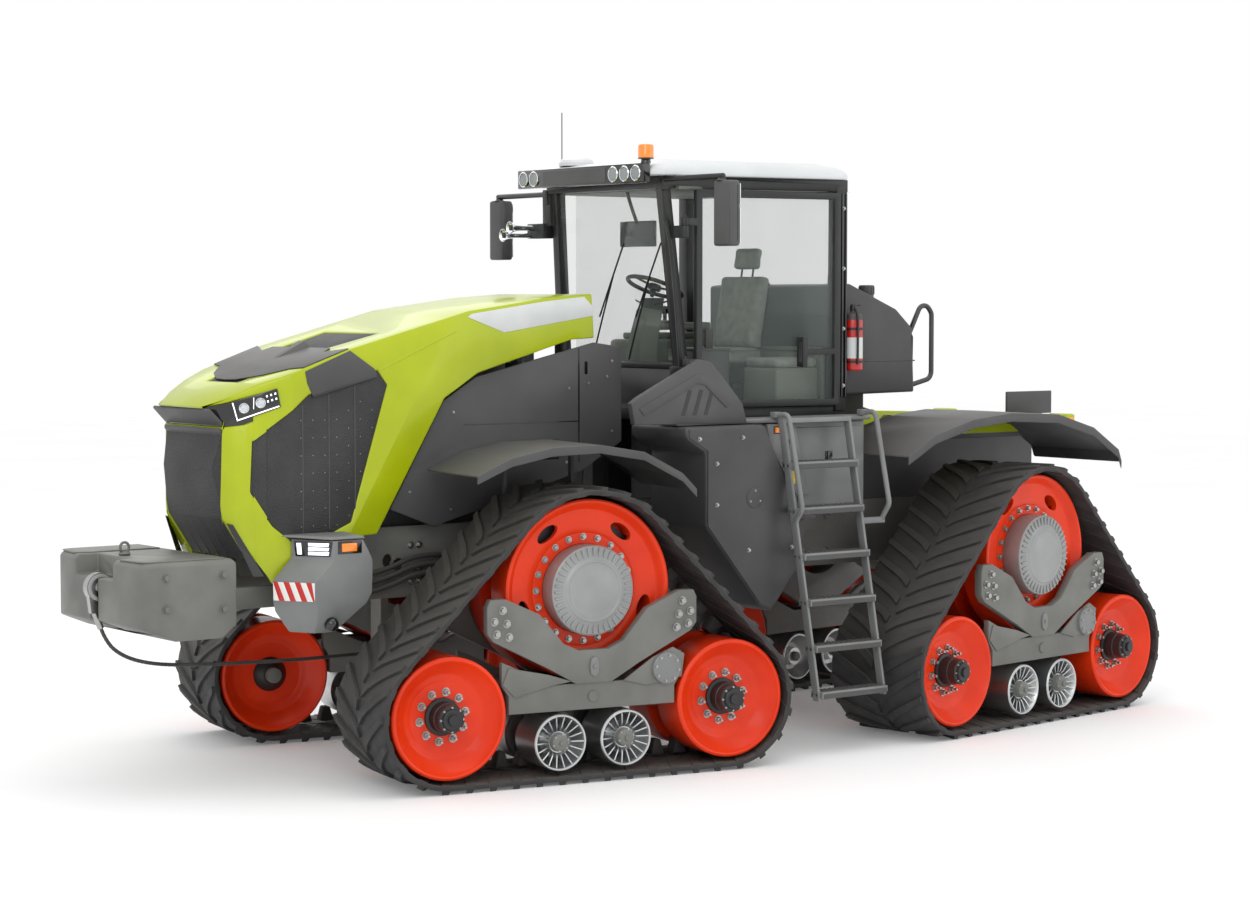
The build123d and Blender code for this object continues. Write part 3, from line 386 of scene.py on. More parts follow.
def clear_finish(name, colour, alpha, rough=0.03, glow=0.0):
    """Glass or clear plastic, thin enough to see through."""
    material, tree, shader, where = blank_finish(name)
    streak = add(tree, "ShaderNodeTexNoise", {"Scale": 2.5, "Detail": 3.0}, {"Vector": where})
    film = add(tree, "ShaderNodeMapRange", {"To Min": rough * 0.6, "To Max": rough * 1.6}, {"Value": streak.outputs["Fac"]})
    tree.links.new(film.outputs["Result"], shader.inputs["Roughness"])
    shader.inputs["Base Color"].default_value = tint(colour)
    shader.inputs["Alpha"].default_value = alpha
    shader.inputs["IOR"].default_value = 1.52
    shader.inputs["Coat Weight"].default_value = 1.0
    shader.inputs["Coat Roughness"].default_value = 0.02
    if glow:
        shader.inputs["Emission Color"].default_value = tint(colour)
        shader.inputs["Emission Strength"].default_value = glow
    return material


# Two-pack enamel, sprayed: a deep gloss with a faint orange peel.
LIME = coated("lime_gloss_enamel", "#aebc08", "#a4b207", 0.3, 7, 0.02, coat=0.25, coat_rough=0.05, ior=1.4, rough_swing=0.03)
# Baked wheel enamel: hot red-orange, glossy, a little uneven.
ORANGE = coated("red_orange_wheel_enamel", "#ea3a0c", "#da3108", 0.36, 9, 0.04, coat=0.12, ior=1.36, rough_swing=0.05)
# Sprayed casting: mid grey, the sand-cast skin shows under the paint.
CAST = coated("painted_grey_casting", "#73746f", "#62635f", 0.5, 5, 0.22, dust=0.25)
# The same grey on folded sheet, smoother.
SHEET = coated("painted_grey_sheet", "#7c7e7d", "#6e706f", 0.42, 3, 0.06, dust=0.2)
# Injection-moulded PP: dull graphite with a fine leather grain.
GRAPHITE = coated("moulded_graphite_plastic", "#4b4b4c", "#434344", 0.52, 3, 0.10, cells=True, dust=0.2)
# Blow-moulded polyethylene tank wall: the same graphite, softer and waxier.
TANK = coated("blow_moulded_polyethylene", "#424243", "#3a3a3b", 0.48, 6, 0.08, cells=True, dust=0.15)
# Powder-coated steel tube and pressings: near black, satin.
BLACK = coated("satin_black_powder_coat", "#242526", "#1d1e1f", 0.4, 2, 0.08)
# Vulcanised rubber: charcoal, dry, scuffed where it has rolled.
RUBBER = coated("vulcanised_track_rubber", "#353434", "#2a2929", 0.68, 5, 0.25, blotch_mm=120, dust=0.3)
# Die-cast aluminium, machined on its faces.
ALUMINIUM = coated("die_cast_aluminium", "#d2d4d4", "#babdbe", 0.36, 3, 0.10, metal=1.0)
# Zinc-plated fasteners: bright, slightly milky.
ZINC = coated("zinc_plated_steel", "#b4b5b3", "#a2a3a1", 0.34, 2, 0.06, metal=1.0)
# Grey aluminium paint on the final-drive cover.
HUB = coated("aluminium_paint_cover", "#9c9e9d", "#8c8e8d", 0.42, 4, 0.10, metal=0.35)
# Gel-coated roof moulding: clean white, soft gloss.
ROOF = coated("white_gel_coat", "#d3d6d7", "#c9cdce", 0.32, 12, 0.02, coat=0.2, ior=1.4)
# Expanded-metal mesh, powder-coated near black, with fine open cells.
MESH = coated("black_expanded_mesh", "#39393a", "#2c2c2d", 0.6, 9, 1.0, cells=True, rough_swing=0.05)
# Piano-black lamp trim.
TRIM = coated("gloss_black_trim", "#101112", "#0b0c0d", 0.12, 8, 0.01, coat=0.6, rough_swing=0.04)
# Engine and gearbox paint over rough iron.
IRON = coated("painted_iron", "#3d3e3d", "#333433", 0.55, 6, 0.3)
# Vinyl decal: pale grey-white, semi-gloss.
DECAL = coated("printed_vinyl_stripe", "#d9dcdb", "#c9cdcc", 0.35, 5, 0.02)
WARN_RED = coated("red_reflective_film", "#c8281e", "#b8201a", 0.35, 4, 0.05, cells=True)
WARN_WHITE = coated("white_reflective_film", "#e9e9e6", "#dcdcd8", 0.35, 4, 0.05, cells=True)
YELLOW = coated("yellow_vinyl_label", "#e8c81c", "#dcbb14", 0.45, 4, 0.02)
SAFETY_RED = coated("extinguisher_red_enamel", "#c21b17", "#a91511", 0.28, 7, 0.03, coat=0.5)
# Woven seat cloth with a visible thread.
CLOTH = coated("woven_seat_cloth", "#8b8e86", "#777a73", 0.85, 4, 0.45, blotch_mm=60, stretch=(1, 1, 0.4))
VINYL = coated("grey_green_cab_vinyl", "#6f746a", "#61665d", 0.55, 3, 0.15, cells=True)
CAB_DARK = coated("soft_touch_black_plastic", "#262728", "#1e1f20", 0.55, 3, 0.10, cells=True)
PALE_PLASTIC = coated("light_grey_moulding", "#a9acab", "#9a9d9c", 0.45, 3, 0.06, cells=True)
CAP_BLUE = coated("blue_filler_cap", "#2f4f86", "#27427a", 0.4, 4, 0.06, cells=True)
WIRE = coated("galvanised_wire_strand", "#5d5e5c", "#4b4c4a", 0.42, 2, 0.15, metal=0.7)
CHROME = coated("chrome_reflector", "#e8eaec", "#dfe2e4", 0.08, 9, 0.01, metal=1.0, rough_swing=0.03)
SCREEN = clear_finish("monitor_glass", "#3a4238", 1.0, 0.08)
# Tinted safety glass: a pale green film with clean reflections.
GLASS = clear_finish("tinted_cab_glass", "#6f7d77", 0.13)
LENS = clear_finish("clear_polycarbonate_lens", "#dfe6ea", 0.35, 0.04)
LED = clear_finish("white_led_light_guide", "#f4f8ff", 1.0, 0.2, glow=1.4)
AMBER = clear_finish("amber_lens", "#f08216", 0.94, 0.15, glow=0.25)
RED_LENS = clear_finish("red_lens", "#b3150f", 0.94, 0.15, glow=0.1)


# ======================= studio, camera and rope =======================

def studio():
    """A pale seamless floor, a pale room and three broad soft lights."""
    clear_bench()
    bpy.ops.mesh.primitive_plane_add(size=90, location=(0, 0, -0.001))
    floor = named("studio_floor")
    cove = coated("matt_white_floor", "#f4f4f4", "#f1f1f1", 0.85, 9, 0.01, blotch_mm=2500, ior=1.2)
    glow = cove.node_tree.nodes["Principled BSDF"]
    glow.inputs["Emission Color"].default_value = tint("#ffffff")
    glow.inputs["Emission Strength"].default_value = 0.10
    floor.data.materials.append(cove)
    world = bpy.data.worlds.new("studio_room")
    bpy.context.scene.world = world
    world.use_nodes = True
    sky = world.node_tree.nodes["Background"]
    sky.inputs["Color"].default_value = tint("#ffffff")
    sky.inputs["Strength"].default_value = 1.0
    lights = (("key", (9.0, 9.0, 8.5), 6.0, 260), ("fill", (-8.0, 10.0, 6.0), 7.0, 120),
              ("back", (-3.0, -9.0, 9.0), 7.0, 160), ("top", (0.5, 1.5, 9.5), 7.0, 120))
    for name, place, size, watts in lights:
        lamp = bpy.data.lights.new(name + "_softbox", "AREA")
        lamp.shape = "SQUARE"
        lamp.size = size
        lamp.energy = watts
        holder = bpy.data.objects.new(name + "_softbox", lamp)
        holder.location = place
        aim = Vector((0, 0, 1.2)) - Vector(place)
        holder.rotation_euler = aim.to_track_quat("-Z", "Y").to_euler()
        bpy.context.scene.collection.objects.link(holder)
    bpy.context.scene.view_settings.view_transform = "Standard"
    bpy.context.scene.view_settings.look = "None"


def camera():
    """Low three-quarter view from the left front."""
    data = bpy.data.cameras.new("view_camera")
    data.lens = 78.97
    data.sensor_width = 36.0
    data.clip_end = 200
    data.dof.use_dof = False
    holder = bpy.data.objects.new("view_camera", data)
    holder.location = (11.6104 + SHIFT, 14.6303, 2.8961)
    holder.rotation_euler = (math.radians(90 - 3.1475), 0, math.radians(-127.0243 - 90))
    bpy.context.scene.collection.objects.link(holder)
    bpy.context.scene.camera = holder


ROPE = [(4.428, 0, 0.968), (4.392, 0, 0.880), (4.300, 0, 0.800), (4.160, 0, 0.745), (3.960, 0, 0.712),
        (3.615, 0, 0.694), (3.260, 0.004, 0.682), (2.900, 0, 0.676), (2.5405, 0, 0.680)]


def rope_line(name):
    """The rope's smooth line as a curve."""
    curve = bpy.data.curves.new(name, "CURVE")
    curve.dimensions = "3D"
    curve.resolution_u = 24
    spline = curve.splines.new("NURBS")
    spline.points.add(len(ROPE) - 1)
    for knot, (x, y, z) in zip(spline.points, ROPE):
        knot.co = (x + SHIFT, y, z, 1)
    spline.order_u = 3
    spline.use_endpoint_u = True
    holder = bpy.data.objects.new(name, curve)
    bpy.context.scene.collection.objects.link(holder)
    return holder


def tow_rope():
    """Six strands laid round the rope's line."""
    guide = rope_line("tow_rope_line")
    bpy.context.view_layer.update()
    line = bpy.data.meshes.new_from_object(guide)
    path = [vertex.co.copy() for vertex in line.vertices]
    bpy.data.meshes.remove(line)
    bpy.data.objects.remove(guide)
    lay = 0.16
    strands = []
    for strand in range(6):
        along = 0.0
        turns = []
        for index, at in enumerate(path):
            ahead = (path[min(index + 1, len(path) - 1)] - path[max(index - 1, 0)]).normalized()
            across = Vector((0, 1, 0))
            up = ahead.cross(across).normalized()
            across = up.cross(ahead)
            if index:
                along += (at - path[index - 1]).length
            angle = 2 * math.pi * (along / lay + strand / 6)
            turns.append(at + 0.0074 * (math.cos(angle) * across + math.sin(angle) * up))
        curve = bpy.data.curves.new(f"strand_{strand}", "CURVE")
        curve.dimensions = "3D"
        curve.bevel_depth = 0.0045
        curve.bevel_resolution = 2
        curve.use_fill_caps = True
        spline = curve.splines.new("POLY")
        spline.points.add(len(turns) - 1)
        for knot, place in zip(spline.points, turns):
            knot.co = (*place, 1)
        holder = bpy.data.objects.new(f"strand_{strand}", curve)
        bpy.context.scene.collection.objects.link(holder)
        hold(holder)
        bpy.ops.object.convert(target="MESH")
        strands.append(bpy.context.active_object)
    rope = joined(strands)
    rope.name = "tow_rope_strands"
    rope.data.name = rope.name
    finished(rope, "chassis", WIRE, "steel_rope", ("tow_rope",), Matrix.Identity(4))
    route = [tuple(point) for point in path]


# ======================= track units =======================

BELT_HALF = 0.381
CARCASS = 0.029
IDLER_X = 0.94
IDLER_Z = 0.444
BELT_IDLER = 0.365 + CARCASS
BELT_DRIVE = 0.547 + CARCASS
LUGS = 46
REACH = math.hypot(IDLER_X, AXLE - IDLER_Z)
LEAN = math.atan2(IDLER_Z - AXLE, IDLER_X) + math.acos((BELT_DRIVE - BELT_IDLER) / REACH)
FLANK = math.sqrt(REACH ** 2 - (BELT_DRIVE - BELT_IDLER) ** 2)
LOOP = 2 * IDLER_X + 2 * BELT_IDLER * (LEAN + math.pi / 2) + 2 * FLANK + BELT_DRIVE * (math.pi - 2 * LEAN)


def belt_at(along, rise):
    """The point at a distance round the belt's outer face and a height above it, as (x, z)."""
    along %= LOOP
    legs = ((2 * IDLER_X, -IDLER_X, IDLER_Z, BELT_IDLER, -math.pi / 2, 0),
            (BELT_IDLER * (LEAN + math.pi / 2), IDLER_X, IDLER_Z, BELT_IDLER, -math.pi / 2, 1),
            (FLANK, IDLER_X, IDLER_Z, BELT_IDLER, LEAN, 0),
            (BELT_DRIVE * (math.pi - 2 * LEAN), 0, AXLE, BELT_DRIVE, LEAN, 1),
            (FLANK, 0, AXLE, BELT_DRIVE, math.pi - LEAN, 0),
            (BELT_IDLER * (LEAN + math.pi / 2), -IDLER_X, IDLER_Z, BELT_IDLER, math.pi - LEAN, 1))
    for length, x, z, radius, angle, curved in legs:
        if along <= length:
            if curved:
                angle += along / radius
                return x + (radius + rise) * math.cos(angle), z + (radius + rise) * math.sin(angle)
            x += (radius + rise) * math.cos(angle) - along * math.sin(angle)
            z += (radius + rise) * math.sin(angle) + along * math.cos(angle)
            return x, z
        along -= length
    return belt_at(0, rise)


def wrapped(block, name, start):
    """A copy of a block drawn flat (x along, z out), bent onto the belt loop."""
    copy = twin(block, name, Matrix.Identity(4))
    for vertex in copy.data.vertices:
        x, z = belt_at(start + vertex.co.x, vertex.co.z)
        vertex.co = (x, vertex.co.y, z)
    return copy


def lug_block(name, inner, outer, sweep):
    """One drive lug: a swept bar, wide at its root, with broken edges."""
    lug = slab(name, (-0.037, inner, -0.004), (0.037, outer, 0.05))
    hold(lug)
    bpy.ops.object.mode_set(mode="EDIT")
    bpy.ops.mesh.select_all(action="SELECT")
    bpy.ops.mesh.subdivide(number_cuts=4)
    bpy.ops.object.mode_set(mode="OBJECT")
    for vertex in lug.data.vertices:
        share = min(1.0, max(0.0, (vertex.co.y - inner) / (outer - inner)))
        if vertex.co.z > 0.02:
            vertex.co.x *= 0.66
            vertex.co.y += 0.008 if share < 0.1 else (-0.008 if share > 0.9 else 0)
        vertex.co.x *= 1.25 - 0.45 * share
        vertex.co.x += sweep * (share ** 0.85 - 0.5)
    hold(lug)
    bpy.ops.object.mode_set(mode="EDIT")
    bpy.ops.mesh.select_all(action="SELECT")
    bpy.ops.mesh.dissolve_limited(angle_limit=math.radians(1))
    bpy.ops.object.mode_set(mode="OBJECT")
    return rounded(lug, 0.005, 1, 40)


def belt():
    """The belt: carcass, two staggered rows of swept lugs and the guide lugs inside."""
    steps = 184
    outer = [belt_at(LOOP * index / steps, 0) for index in range(steps)]
    band = loop_blank("belt", [(x, -BELT_HALF, z) for x, z in outer], False)
    hold(band)
    bpy.ops.object.mode_set(mode="EDIT")
    bpy.ops.mesh.select_all(action="SELECT")
    bpy.ops.mesh.extrude_edges_move(TRANSFORM_OT_translate={"value": (0, 2 * BELT_HALF, 0)})
    bpy.ops.mesh.select_all(action="SELECT")
    bpy.ops.mesh.normals_make_consistent(inside=False)
    bpy.ops.object.mode_set(mode="OBJECT")
    if band.data.polygons[0].normal.z > 0:
        band.data.flip_normals()
    applied(band, "SOLIDIFY", thickness=CARCASS, offset=-1.0)
    rounded(band, 0.005, 2, 50)
    near = lug_block("lug_outer", 0.012, BELT_HALF - 0.001, 0.19)
    far = twin(near, "lug_inner", Matrix.Diagonal((1, -1, 1, 1)))
    guide = slab("guide_lug", (-0.045, -0.05, -CARCASS - 0.09), (0.045, 0.05, -CARCASS + 0.004))
    for vertex in guide.data.vertices:
        if vertex.co.z < -0.1:
            vertex.co.x *= 0.5
            vertex.co.y *= 0.8
    rounded(guide, 0.008, 2, 30)
    pitch = LOOP / LUGS
    parts = [band]
    for index in range(LUGS):
        parts.append(wrapped(near, f"lug_a{index}", index * pitch))
        parts.append(wrapped(far, f"lug_b{index}", (index + 0.5) * pitch))
        parts.append(wrapped(guide, f"lug_g{index}", (index + 0.25) * pitch))
    for blank in (near, far, guide):
        bpy.data.objects.remove(blank)
    return joined(parts)


def idler_wheels():
    """A pair of deep-dished pressed wheels, left and right of the guide lugs."""
    profile = [(0.100, 0.066), (0.352, 0.066), (0.3645, 0.078), (0.3645, 0.345), (0.358, 0.3535), (0.348, 0.3575),
               (0.340, 0.354), (0.333, 0.343), (0.318, 0.326), (0.262, 0.262), (0.244, 0.252), (0.222, 0.250),
               (0.214, 0.246), (0.206, 0.2435), (0.150, 0.2425), (0.100, 0.2425)]
    wheel = turned("idler_wheels", profile, (0, 0, 0), "Y", 72)
    return joined([wheel, twin(wheel, "idler_inner", Matrix.Diagonal((1, -1, 1, 1)))])


def idler_hub():
    """The oil-bath hub: flange, barrel and a stepped cap."""
    profile = [(0.0, 0.425), (0.030, 0.425), (0.033, 0.421), (0.033, 0.410), (0.056, 0.409), (0.062, 0.404),
               (0.064, 0.392), (0.078, 0.390), (0.083, 0.384), (0.086, 0.330), (0.091, 0.326), (0.093, 0.262),
               (0.112, 0.256), (0.114, 0.250), (0.114, 0.240), (0.0, 0.240)]
    hub = turned("idler_hub", profile, (0, 0, 0), "Y", 48)
    inner = [(0.0, -0.30), (0.060, -0.30), (0.090, -0.28), (0.112, -0.252), (0.112, -0.240), (0.0, -0.240)]
    return joined([hub, turned("idler_hub_inner", inner, (0, 0, 0), "Y", 32)])


def bolt(name, place, size, axis="Y", length=None):
    """A hexagon bolt head on a washer, standing on the point."""
    length = length or size * 0.65
    x, y, z = place
    out = {"X": Vector((1, 0, 0)), "Y": Vector((0, 1, 0)), "Z": Vector((0, 0, 1))}[axis]
    at = Vector(place)
    head = rod(name, at + out * (length / 2 + size * 0.12), size * 0.52, length, axis, 6)
    rounded(head, size * 0.06, 1, 20)
    washer = rod(name + "_washer", at + out * size * 0.06, size * 0.72, size * 0.14, axis, 16)
    return joined([head, washer])


def wheel_nuts():
    """Ten wheel nuts with their stud ends."""
    nut = bolt("wheel_nuts", (0.148, 0.243, 0), 0.036)
    stud = rod("stud", (0.148, 0.280, 0), 0.0095, 0.03, "Y", 12)
    return ring_of(joined([nut, rounded(stud, 0.002, 1)]), 10, (0, 0, 0), start=math.radians(9))


def hub_screws():
    """The small screws round an idler's hub cap."""
    screw = bolt("hub_screws", (0.071, 0.3895, 0), 0.011)
    return ring_of(screw, 8, (0, 0, 0))


def roller_wheels():
    """A pair of cast aluminium rollers: rim, cone and hub boss."""
    profile = [(0.036, 0.066), (0.160, 0.066), (0.1715, 0.078), (0.1715, 0.350), (0.166, 0.3575), (0.158, 0.3575),
               (0.152, 0.350), (0.148, 0.330), (0.100, 0.270), (0.072, 0.262), (0.068, 0.268), (0.064, 0.318),
               (0.036, 0.318)]
    wheel = turned("roller_wheels", profile, (0, 0, 0), "Y", 54)
    return joined([wheel, twin(wheel, "roller_inner", Matrix.Diagonal((1, -1, 1, 1)))])


def roller_fins():
    """Sixteen curved cooling fins between the roller's boss and rim."""
    fin = plate("roller_fins", [(0.064, 0.268), (0.064, 0.318), (0.090, 0.336), (0.153, 0.353), (0.153, 0.330),
                                (0.100, 0.268)], "Z", -0.0042, 0.0042)
    rounded(fin, 0.0018, 1)
    return ring_of(fin, 18, (0, 0, 0))


def roller_cap():
    """The roller's domed hub cap with its filler plug."""
    profile = [(0.0, 0.379), (0.014, 0.379), (0.016, 0.375), (0.016, 0.368), (0.040, 0.366), (0.052, 0.356),
               (0.056, 0.340), (0.058, 0.312), (0.0, 0.312)]
    return turned("roller_cap", profile, (0, 0, 0), "Y", 32)


def roller_screws():
    """The screws that hold the roller's cap."""
    return ring_of(bolt("roller_screws", (0.048, 0.357, 0), 0.010), 6, (0, 0, 0), start=0.3)


def drive_cover():
    """The final drive's cover: a stepped drum with a plain boss."""
    profile = [(0.0, 0.3715), (0.118, 0.3715), (0.124, 0.368), (0.168, 0.366), (0.174, 0.3705), (0.186, 0.3705),
               (0.192, 0.364), (0.206, 0.360), (0.262, 0.352), (0.2705, 0.344), (0.2725, 0.330), (0.2725, 0.220),
               (0.268, 0.205), (0.268, 0.032), (0.0, 0.032)]
    return turned("drive_cover", profile, (0, 0, 0), "Y", 96)


def drive_ribs():
    """The cover's radial ribs round its edge."""
    rib = slab("drive_ribs", (0.208, 0.350, -0.0058), (0.260, 0.3660, 0.0058))
    rounded(rib, 0.0025, 1)
    return ring_of(rib, 40, (0, 0, 0))


def drive_flange_bolts():
    """Bolts of the final drive's flange on the wheel disc."""
    return ring_of(bolt("drive_flange_bolts", (0.315, 0.211, 0), 0.030), 20, (0, 0, 0))


def drive_disc():
    """The drive wheel: a rim barrel, a deep outer disc with five oval windows and an inner disc."""
    profile = [(0.269, 0.180), (0.269, 0.205), (0.276, 0.211), (0.338, 0.211), (0.350, 0.220), (0.385, 0.224),
               (0.482, 0.234), (0.500, 0.250), (0.513, 0.274), (0.524, 0.284), (0.536, 0.285), (0.545, 0.280),
               (0.5466, 0.273), (0.5466, 0.074), (0.542, 0.068), (0.456, 0.066), (0.456, -0.066), (0.542, -0.068),
               (0.5466, -0.074), (0.5466, -0.273), (0.536, -0.285), (0.524, -0.284), (0.500, -0.20), (0.30, -0.19),
               (0.269, -0.18), (0.269, -0.16), (0.44, -0.16), (0.440, 0.19), (0.30, 0.18)]
    disc = turned("drive_disc", profile, (0, 0, 0), "Y", 96)
    cutters = []
    for index in range(5):
        angle = math.radians(36 + 72 * index)
        points = []
        for step in range(28):
            turn = 2 * math.pi * step / 28
            radial = 0.420 + 0.040 * math.cos(turn)
            around = angle + 0.078 * math.sin(turn) / 0.420
            points.append((radial * math.sin(around), radial * math.cos(around)))
        cutters.append(plate(f"window_cutter_{index}", points, "Y", 0.10, 0.30))
    cutter = joined(cutters)
    applied(disc, "BOOLEAN", object=cutter, operation="DIFFERENCE", solver="EXACT")
    bpy.data.objects.remove(cutter)
    return disc


def wheel_lining():
    """A black disc behind the wheel's windows: painted shade standing for the wheel's shadowed inside."""
    return turned("wheel_lining", [(0.275, 0.150), (0.430, 0.150), (0.430, 0.145), (0.275, 0.145)], (0, 0, 0), "Y", 48)


def yoke_fittings():
    """Bolt clusters and the cover's screws on a track frame, outer side."""
    parts = []
    for side in (1, -1):
        for x, z in ((0.655, 1.000), (0.600, 1.065), (0.640, 0.925), (0.575, 0.985), (0.560, 0.905)):
            parts.append(bolt("yoke_fittings", (x * side, 0.360, z), 0.036))
    for index in range(8):
        angle = math.radians(45 * index + 10)
        parts.append(bolt("cover_bolt", (-0.49 + 0.078 * math.cos(angle), 0.381, 0.66 + 0.078 * math.sin(angle)), 0.013))
    return joined(parts)


def frame_cover():
    """The round inspection cover and the slotted pivot plate."""
    cover = turned("frame_cover", [(0.0, 0.381), (0.090, 0.381), (0.096, 0.376), (0.098, 0.344), (0.0, 0.344)],
                   (-0.49, 0, 0.66), "Y", 40)
    plate_outline = [(0.0, 0.76), (-0.022, 0.745), (-0.030, 0.700), (-0.026, 0.655), (0.0, 0.635), (0.026, 0.655),
                     (0.030, 0.700), (0.022, 0.745)]
    tag = plate("pivot_plate", plate_outline, "Y", 0.358, 0.372)
    rounded(tag, 0.004, 2)
    pin = rod("pivot_pin", (0, 0.374, 0.70), 0.012, 0.014, "Y", 16)
    return joined([cover, tag, rounded(pin, 0.002, 1)])


def frame_boxes():
    """Welded stiffeners, spring housings and brackets on the track frame."""
    parts = []
    left = plate("frame_boxes", [(0.56, 0.72), (0.60, 0.62), (0.52, 0.54), (0.26, 0.60), (0.14, 0.615), (0.30, 0.665)],
                 "Y", 0.340, 0.357)
    right = plate("frame_rib", [(-0.20, 0.60), (-0.36, 0.56), (-0.60, 0.60), (-0.62, 0.74), (-0.54, 0.785), (-0.40, 0.73)],
                  "Y", 0.340, 0.357)
    for part in (left, right):
        parts.append(rounded(part, 0.006, 2))
    for x, z, length in ((0.47, 0.470, 0.11), (-0.42, 0.470, 0.10)):
        stub = rod("frame_stub", (x, 0.0, z), 0.024, 0.66, "Y", 20)
        parts.append(rounded(stub, 0.003, 1))
    for x in (0.0,):
        boss = turned("beam_boss", [(0.0, 0.356), (0.030, 0.356), (0.034, 0.352), (0.034, 0.33), (0.0, 0.33)],
                      (x, 0, 0.515), "Y", 24)
        parts.append(boss)
    return joined(parts)


def unit_set(pattern, base, bodies, nodes, finish, slot, offsets=((0, 0, 0),)):
    """Copies one pattern piece to all four corners, and to each wheel place in a unit."""
    for corner in CORNERS:
        for number, offset in enumerate(offsets):
            body = bodies[number % len(bodies)]
            name = f"{base}_{corner}" if len(offsets) == 1 else f"{base}_{body}_{corner}"
            place = corner_matrix(corner) @ Matrix.Translation(offset)
            copy = twin(pattern, name, Matrix.Identity(4))
            replaced = (f"{nodes[number]}_{corner}",) if nodes else ()
            finished(copy, f"{body}_{corner}", finish, slot, replaced, place)
    bpy.data.objects.remove(pattern)


def track_units():
    unit_set(belt(), "belt_with_lugs", ["undercarriage"], ["belt"], RUBBER, "track_rubber")
    idlers = ((IDLER_X, 0, IDLER_Z), (-IDLER_X, 0, IDLER_Z))
    names = ["idler_front", "idler_rear"]
    unit_set(idler_wheels(), "pressed_wheel", names, names, ORANGE, "wheel_red", idlers)
    unit_set(idler_hub(), "oil_hub", names, None, BLACK, None, idlers)
    unit_set(wheel_nuts(), "wheel_nuts", names, None, ZINC, "zinc", idlers)
    unit_set(hub_screws(), "hub_screws", names, None, ZINC, "zinc", idlers)
    rollers = ((0.219, 0, 0.2515), (-0.219, 0, 0.2515))
    names = ["roller_front", "roller_rear"]
    unit_set(roller_wheels(), "cast_roller", names, names, ALUMINIUM, "cast_aluminium", rollers)
    unit_set(roller_fins(), "roller_fins", names, None, ALUMINIUM, "cast_aluminium", rollers)
    unit_set(roller_cap(), "roller_cap", names, None, CAST, "grey_cast", rollers)
    unit_set(roller_screws(), "roller_screws", names, None, ZINC, "zinc", rollers)
    hub = ((0, 0, AXLE),)
    unit_set(drive_cover(), "final_drive_cover", ["drive"], None, HUB, None, hub)
    unit_set(drive_ribs(), "final_drive_ribs", ["drive"], None, HUB, None, hub)
    unit_set(drive_disc(), "drive_disc", ["drive"], ["drive_wheel"], ORANGE, "wheel_red", hub)
    # A black disc behind the drive wheel's windows: painted shade for its shadowed inside.
    unit_set(wheel_lining(), "wheel_lining", ["drive"], None, BLACK, None, hub)
    unit_set(drive_flange_bolts(), "drive_flange_bolts", ["drive"], None, ZINC, "zinc", hub)
    unit_set(yoke_fittings(), "yoke_fittings", ["undercarriage"], None, ZINC, "zinc")
    unit_set(frame_cover(), "frame_cover", ["undercarriage"], None, SHEET, "grey_cast")
    unit_set(frame_boxes(), "frame_boxes", ["undercarriage"], None, CAST, "grey_cast")
    for corner in CORNERS:
        softened("undercarriage_" + corner, "track_frame_" + corner, 0.005, CAST, "grey_cast", 40)
        softened("knuckle_" + corner, "steering_knuckle_" + corner, 0.004, CAST, "grey_cast", 40)
    for corner in ("fl", "fr"):
        softened("fender_" + corner, "front_fender_" + corner, 0.005, GRAPHITE, "dark_plastic", 25)


# ======================= carried-over machine pieces =======================

def machine_castings():
    """The CAD shapes with their edges broken and their finishes."""
    rows = (("chassis_frame", "main_frame", 0.006, CAST, "grey_cast", 30),
            ("axle_housings", "axle_castings", 0.006, CAST, "grey_cast", 40),
            ("driveline", "engine_and_gearbox", 0.008, IRON, "engine_grey", 40),
            ("front_weight", "front_weight_casting", 0.010, CAST, "grey_cast", 25),
            ("hood_shell", "hood_skin", 0.010, LIME, "green_paint", 14),
            ("hood_grilles", "hood_mesh_panels", 0.004, MESH, "grille_dark", 14),
            ("headlights", "headlight_band", 0.005, TRIM, "lamp_lens", 20),
            ("engine_side_panels", "engine_flank_panels", 0.006, GRAPHITE, "dark_plastic", 25),
            ("cab_frame", "cab_pressings", 0.005, BLACK, "black_steel", 35),
            ("roof_lights", "roof_light_bar", 0.008, TRIM, "gloss_black", 35),
            ("door_frame", "door_surround", 0.005, BLACK, "black_steel", 35),
            ("mirror_left", "mirror_housing_left", 0.016, GRAPHITE, "dark_plastic", 30),
            ("mirror_right", "mirror_housing_right", 0.016, GRAPHITE, "dark_plastic", 30),
            ("fuel_tanks", "fuel_tank_shells", 0.022, TANK, "dark_plastic", 25),
            ("ladder", "boarding_ladder", 0.004, SHEET, "grey_sheet", 30),
            ("platform", "walkway_and_boxes", 0.010, SHEET, "grey_sheet", 30),
            ("rear_tank", "rear_tank_body", 0.020, TANK, "dark_plastic", 30),
            ("rear_body", "rear_deck_and_fenders", 0.006, GRAPHITE, "dark_plastic", 30))
    for row in rows:
        softened(*row)
    for node, finish in (("cab_glass", GLASS), ("door_glass", GLASS), ("tow_eye", ZINC)):
        frame["nodes"][node].data.materials.clear()
        frame["nodes"][node].data.materials.append(finish)


# ======================= hood and front =======================

def patch(name, points, outward, thick, edge=0.002):
    """A thin panel on any plane: cut to its corner points and thickened outwards."""
    piece = loop_blank(name, [Vector(point) for point in points], True)
    hold(piece)
    bpy.ops.object.mode_set(mode="EDIT")
    bpy.ops.mesh.select_all(action="SELECT")
    reach = Vector(outward).normalized() * thick
    bpy.ops.mesh.extrude_region_move(TRANSFORM_OT_translate={"value": reach})
    square_up()
    return rounded(piece, edge, 2, 25)


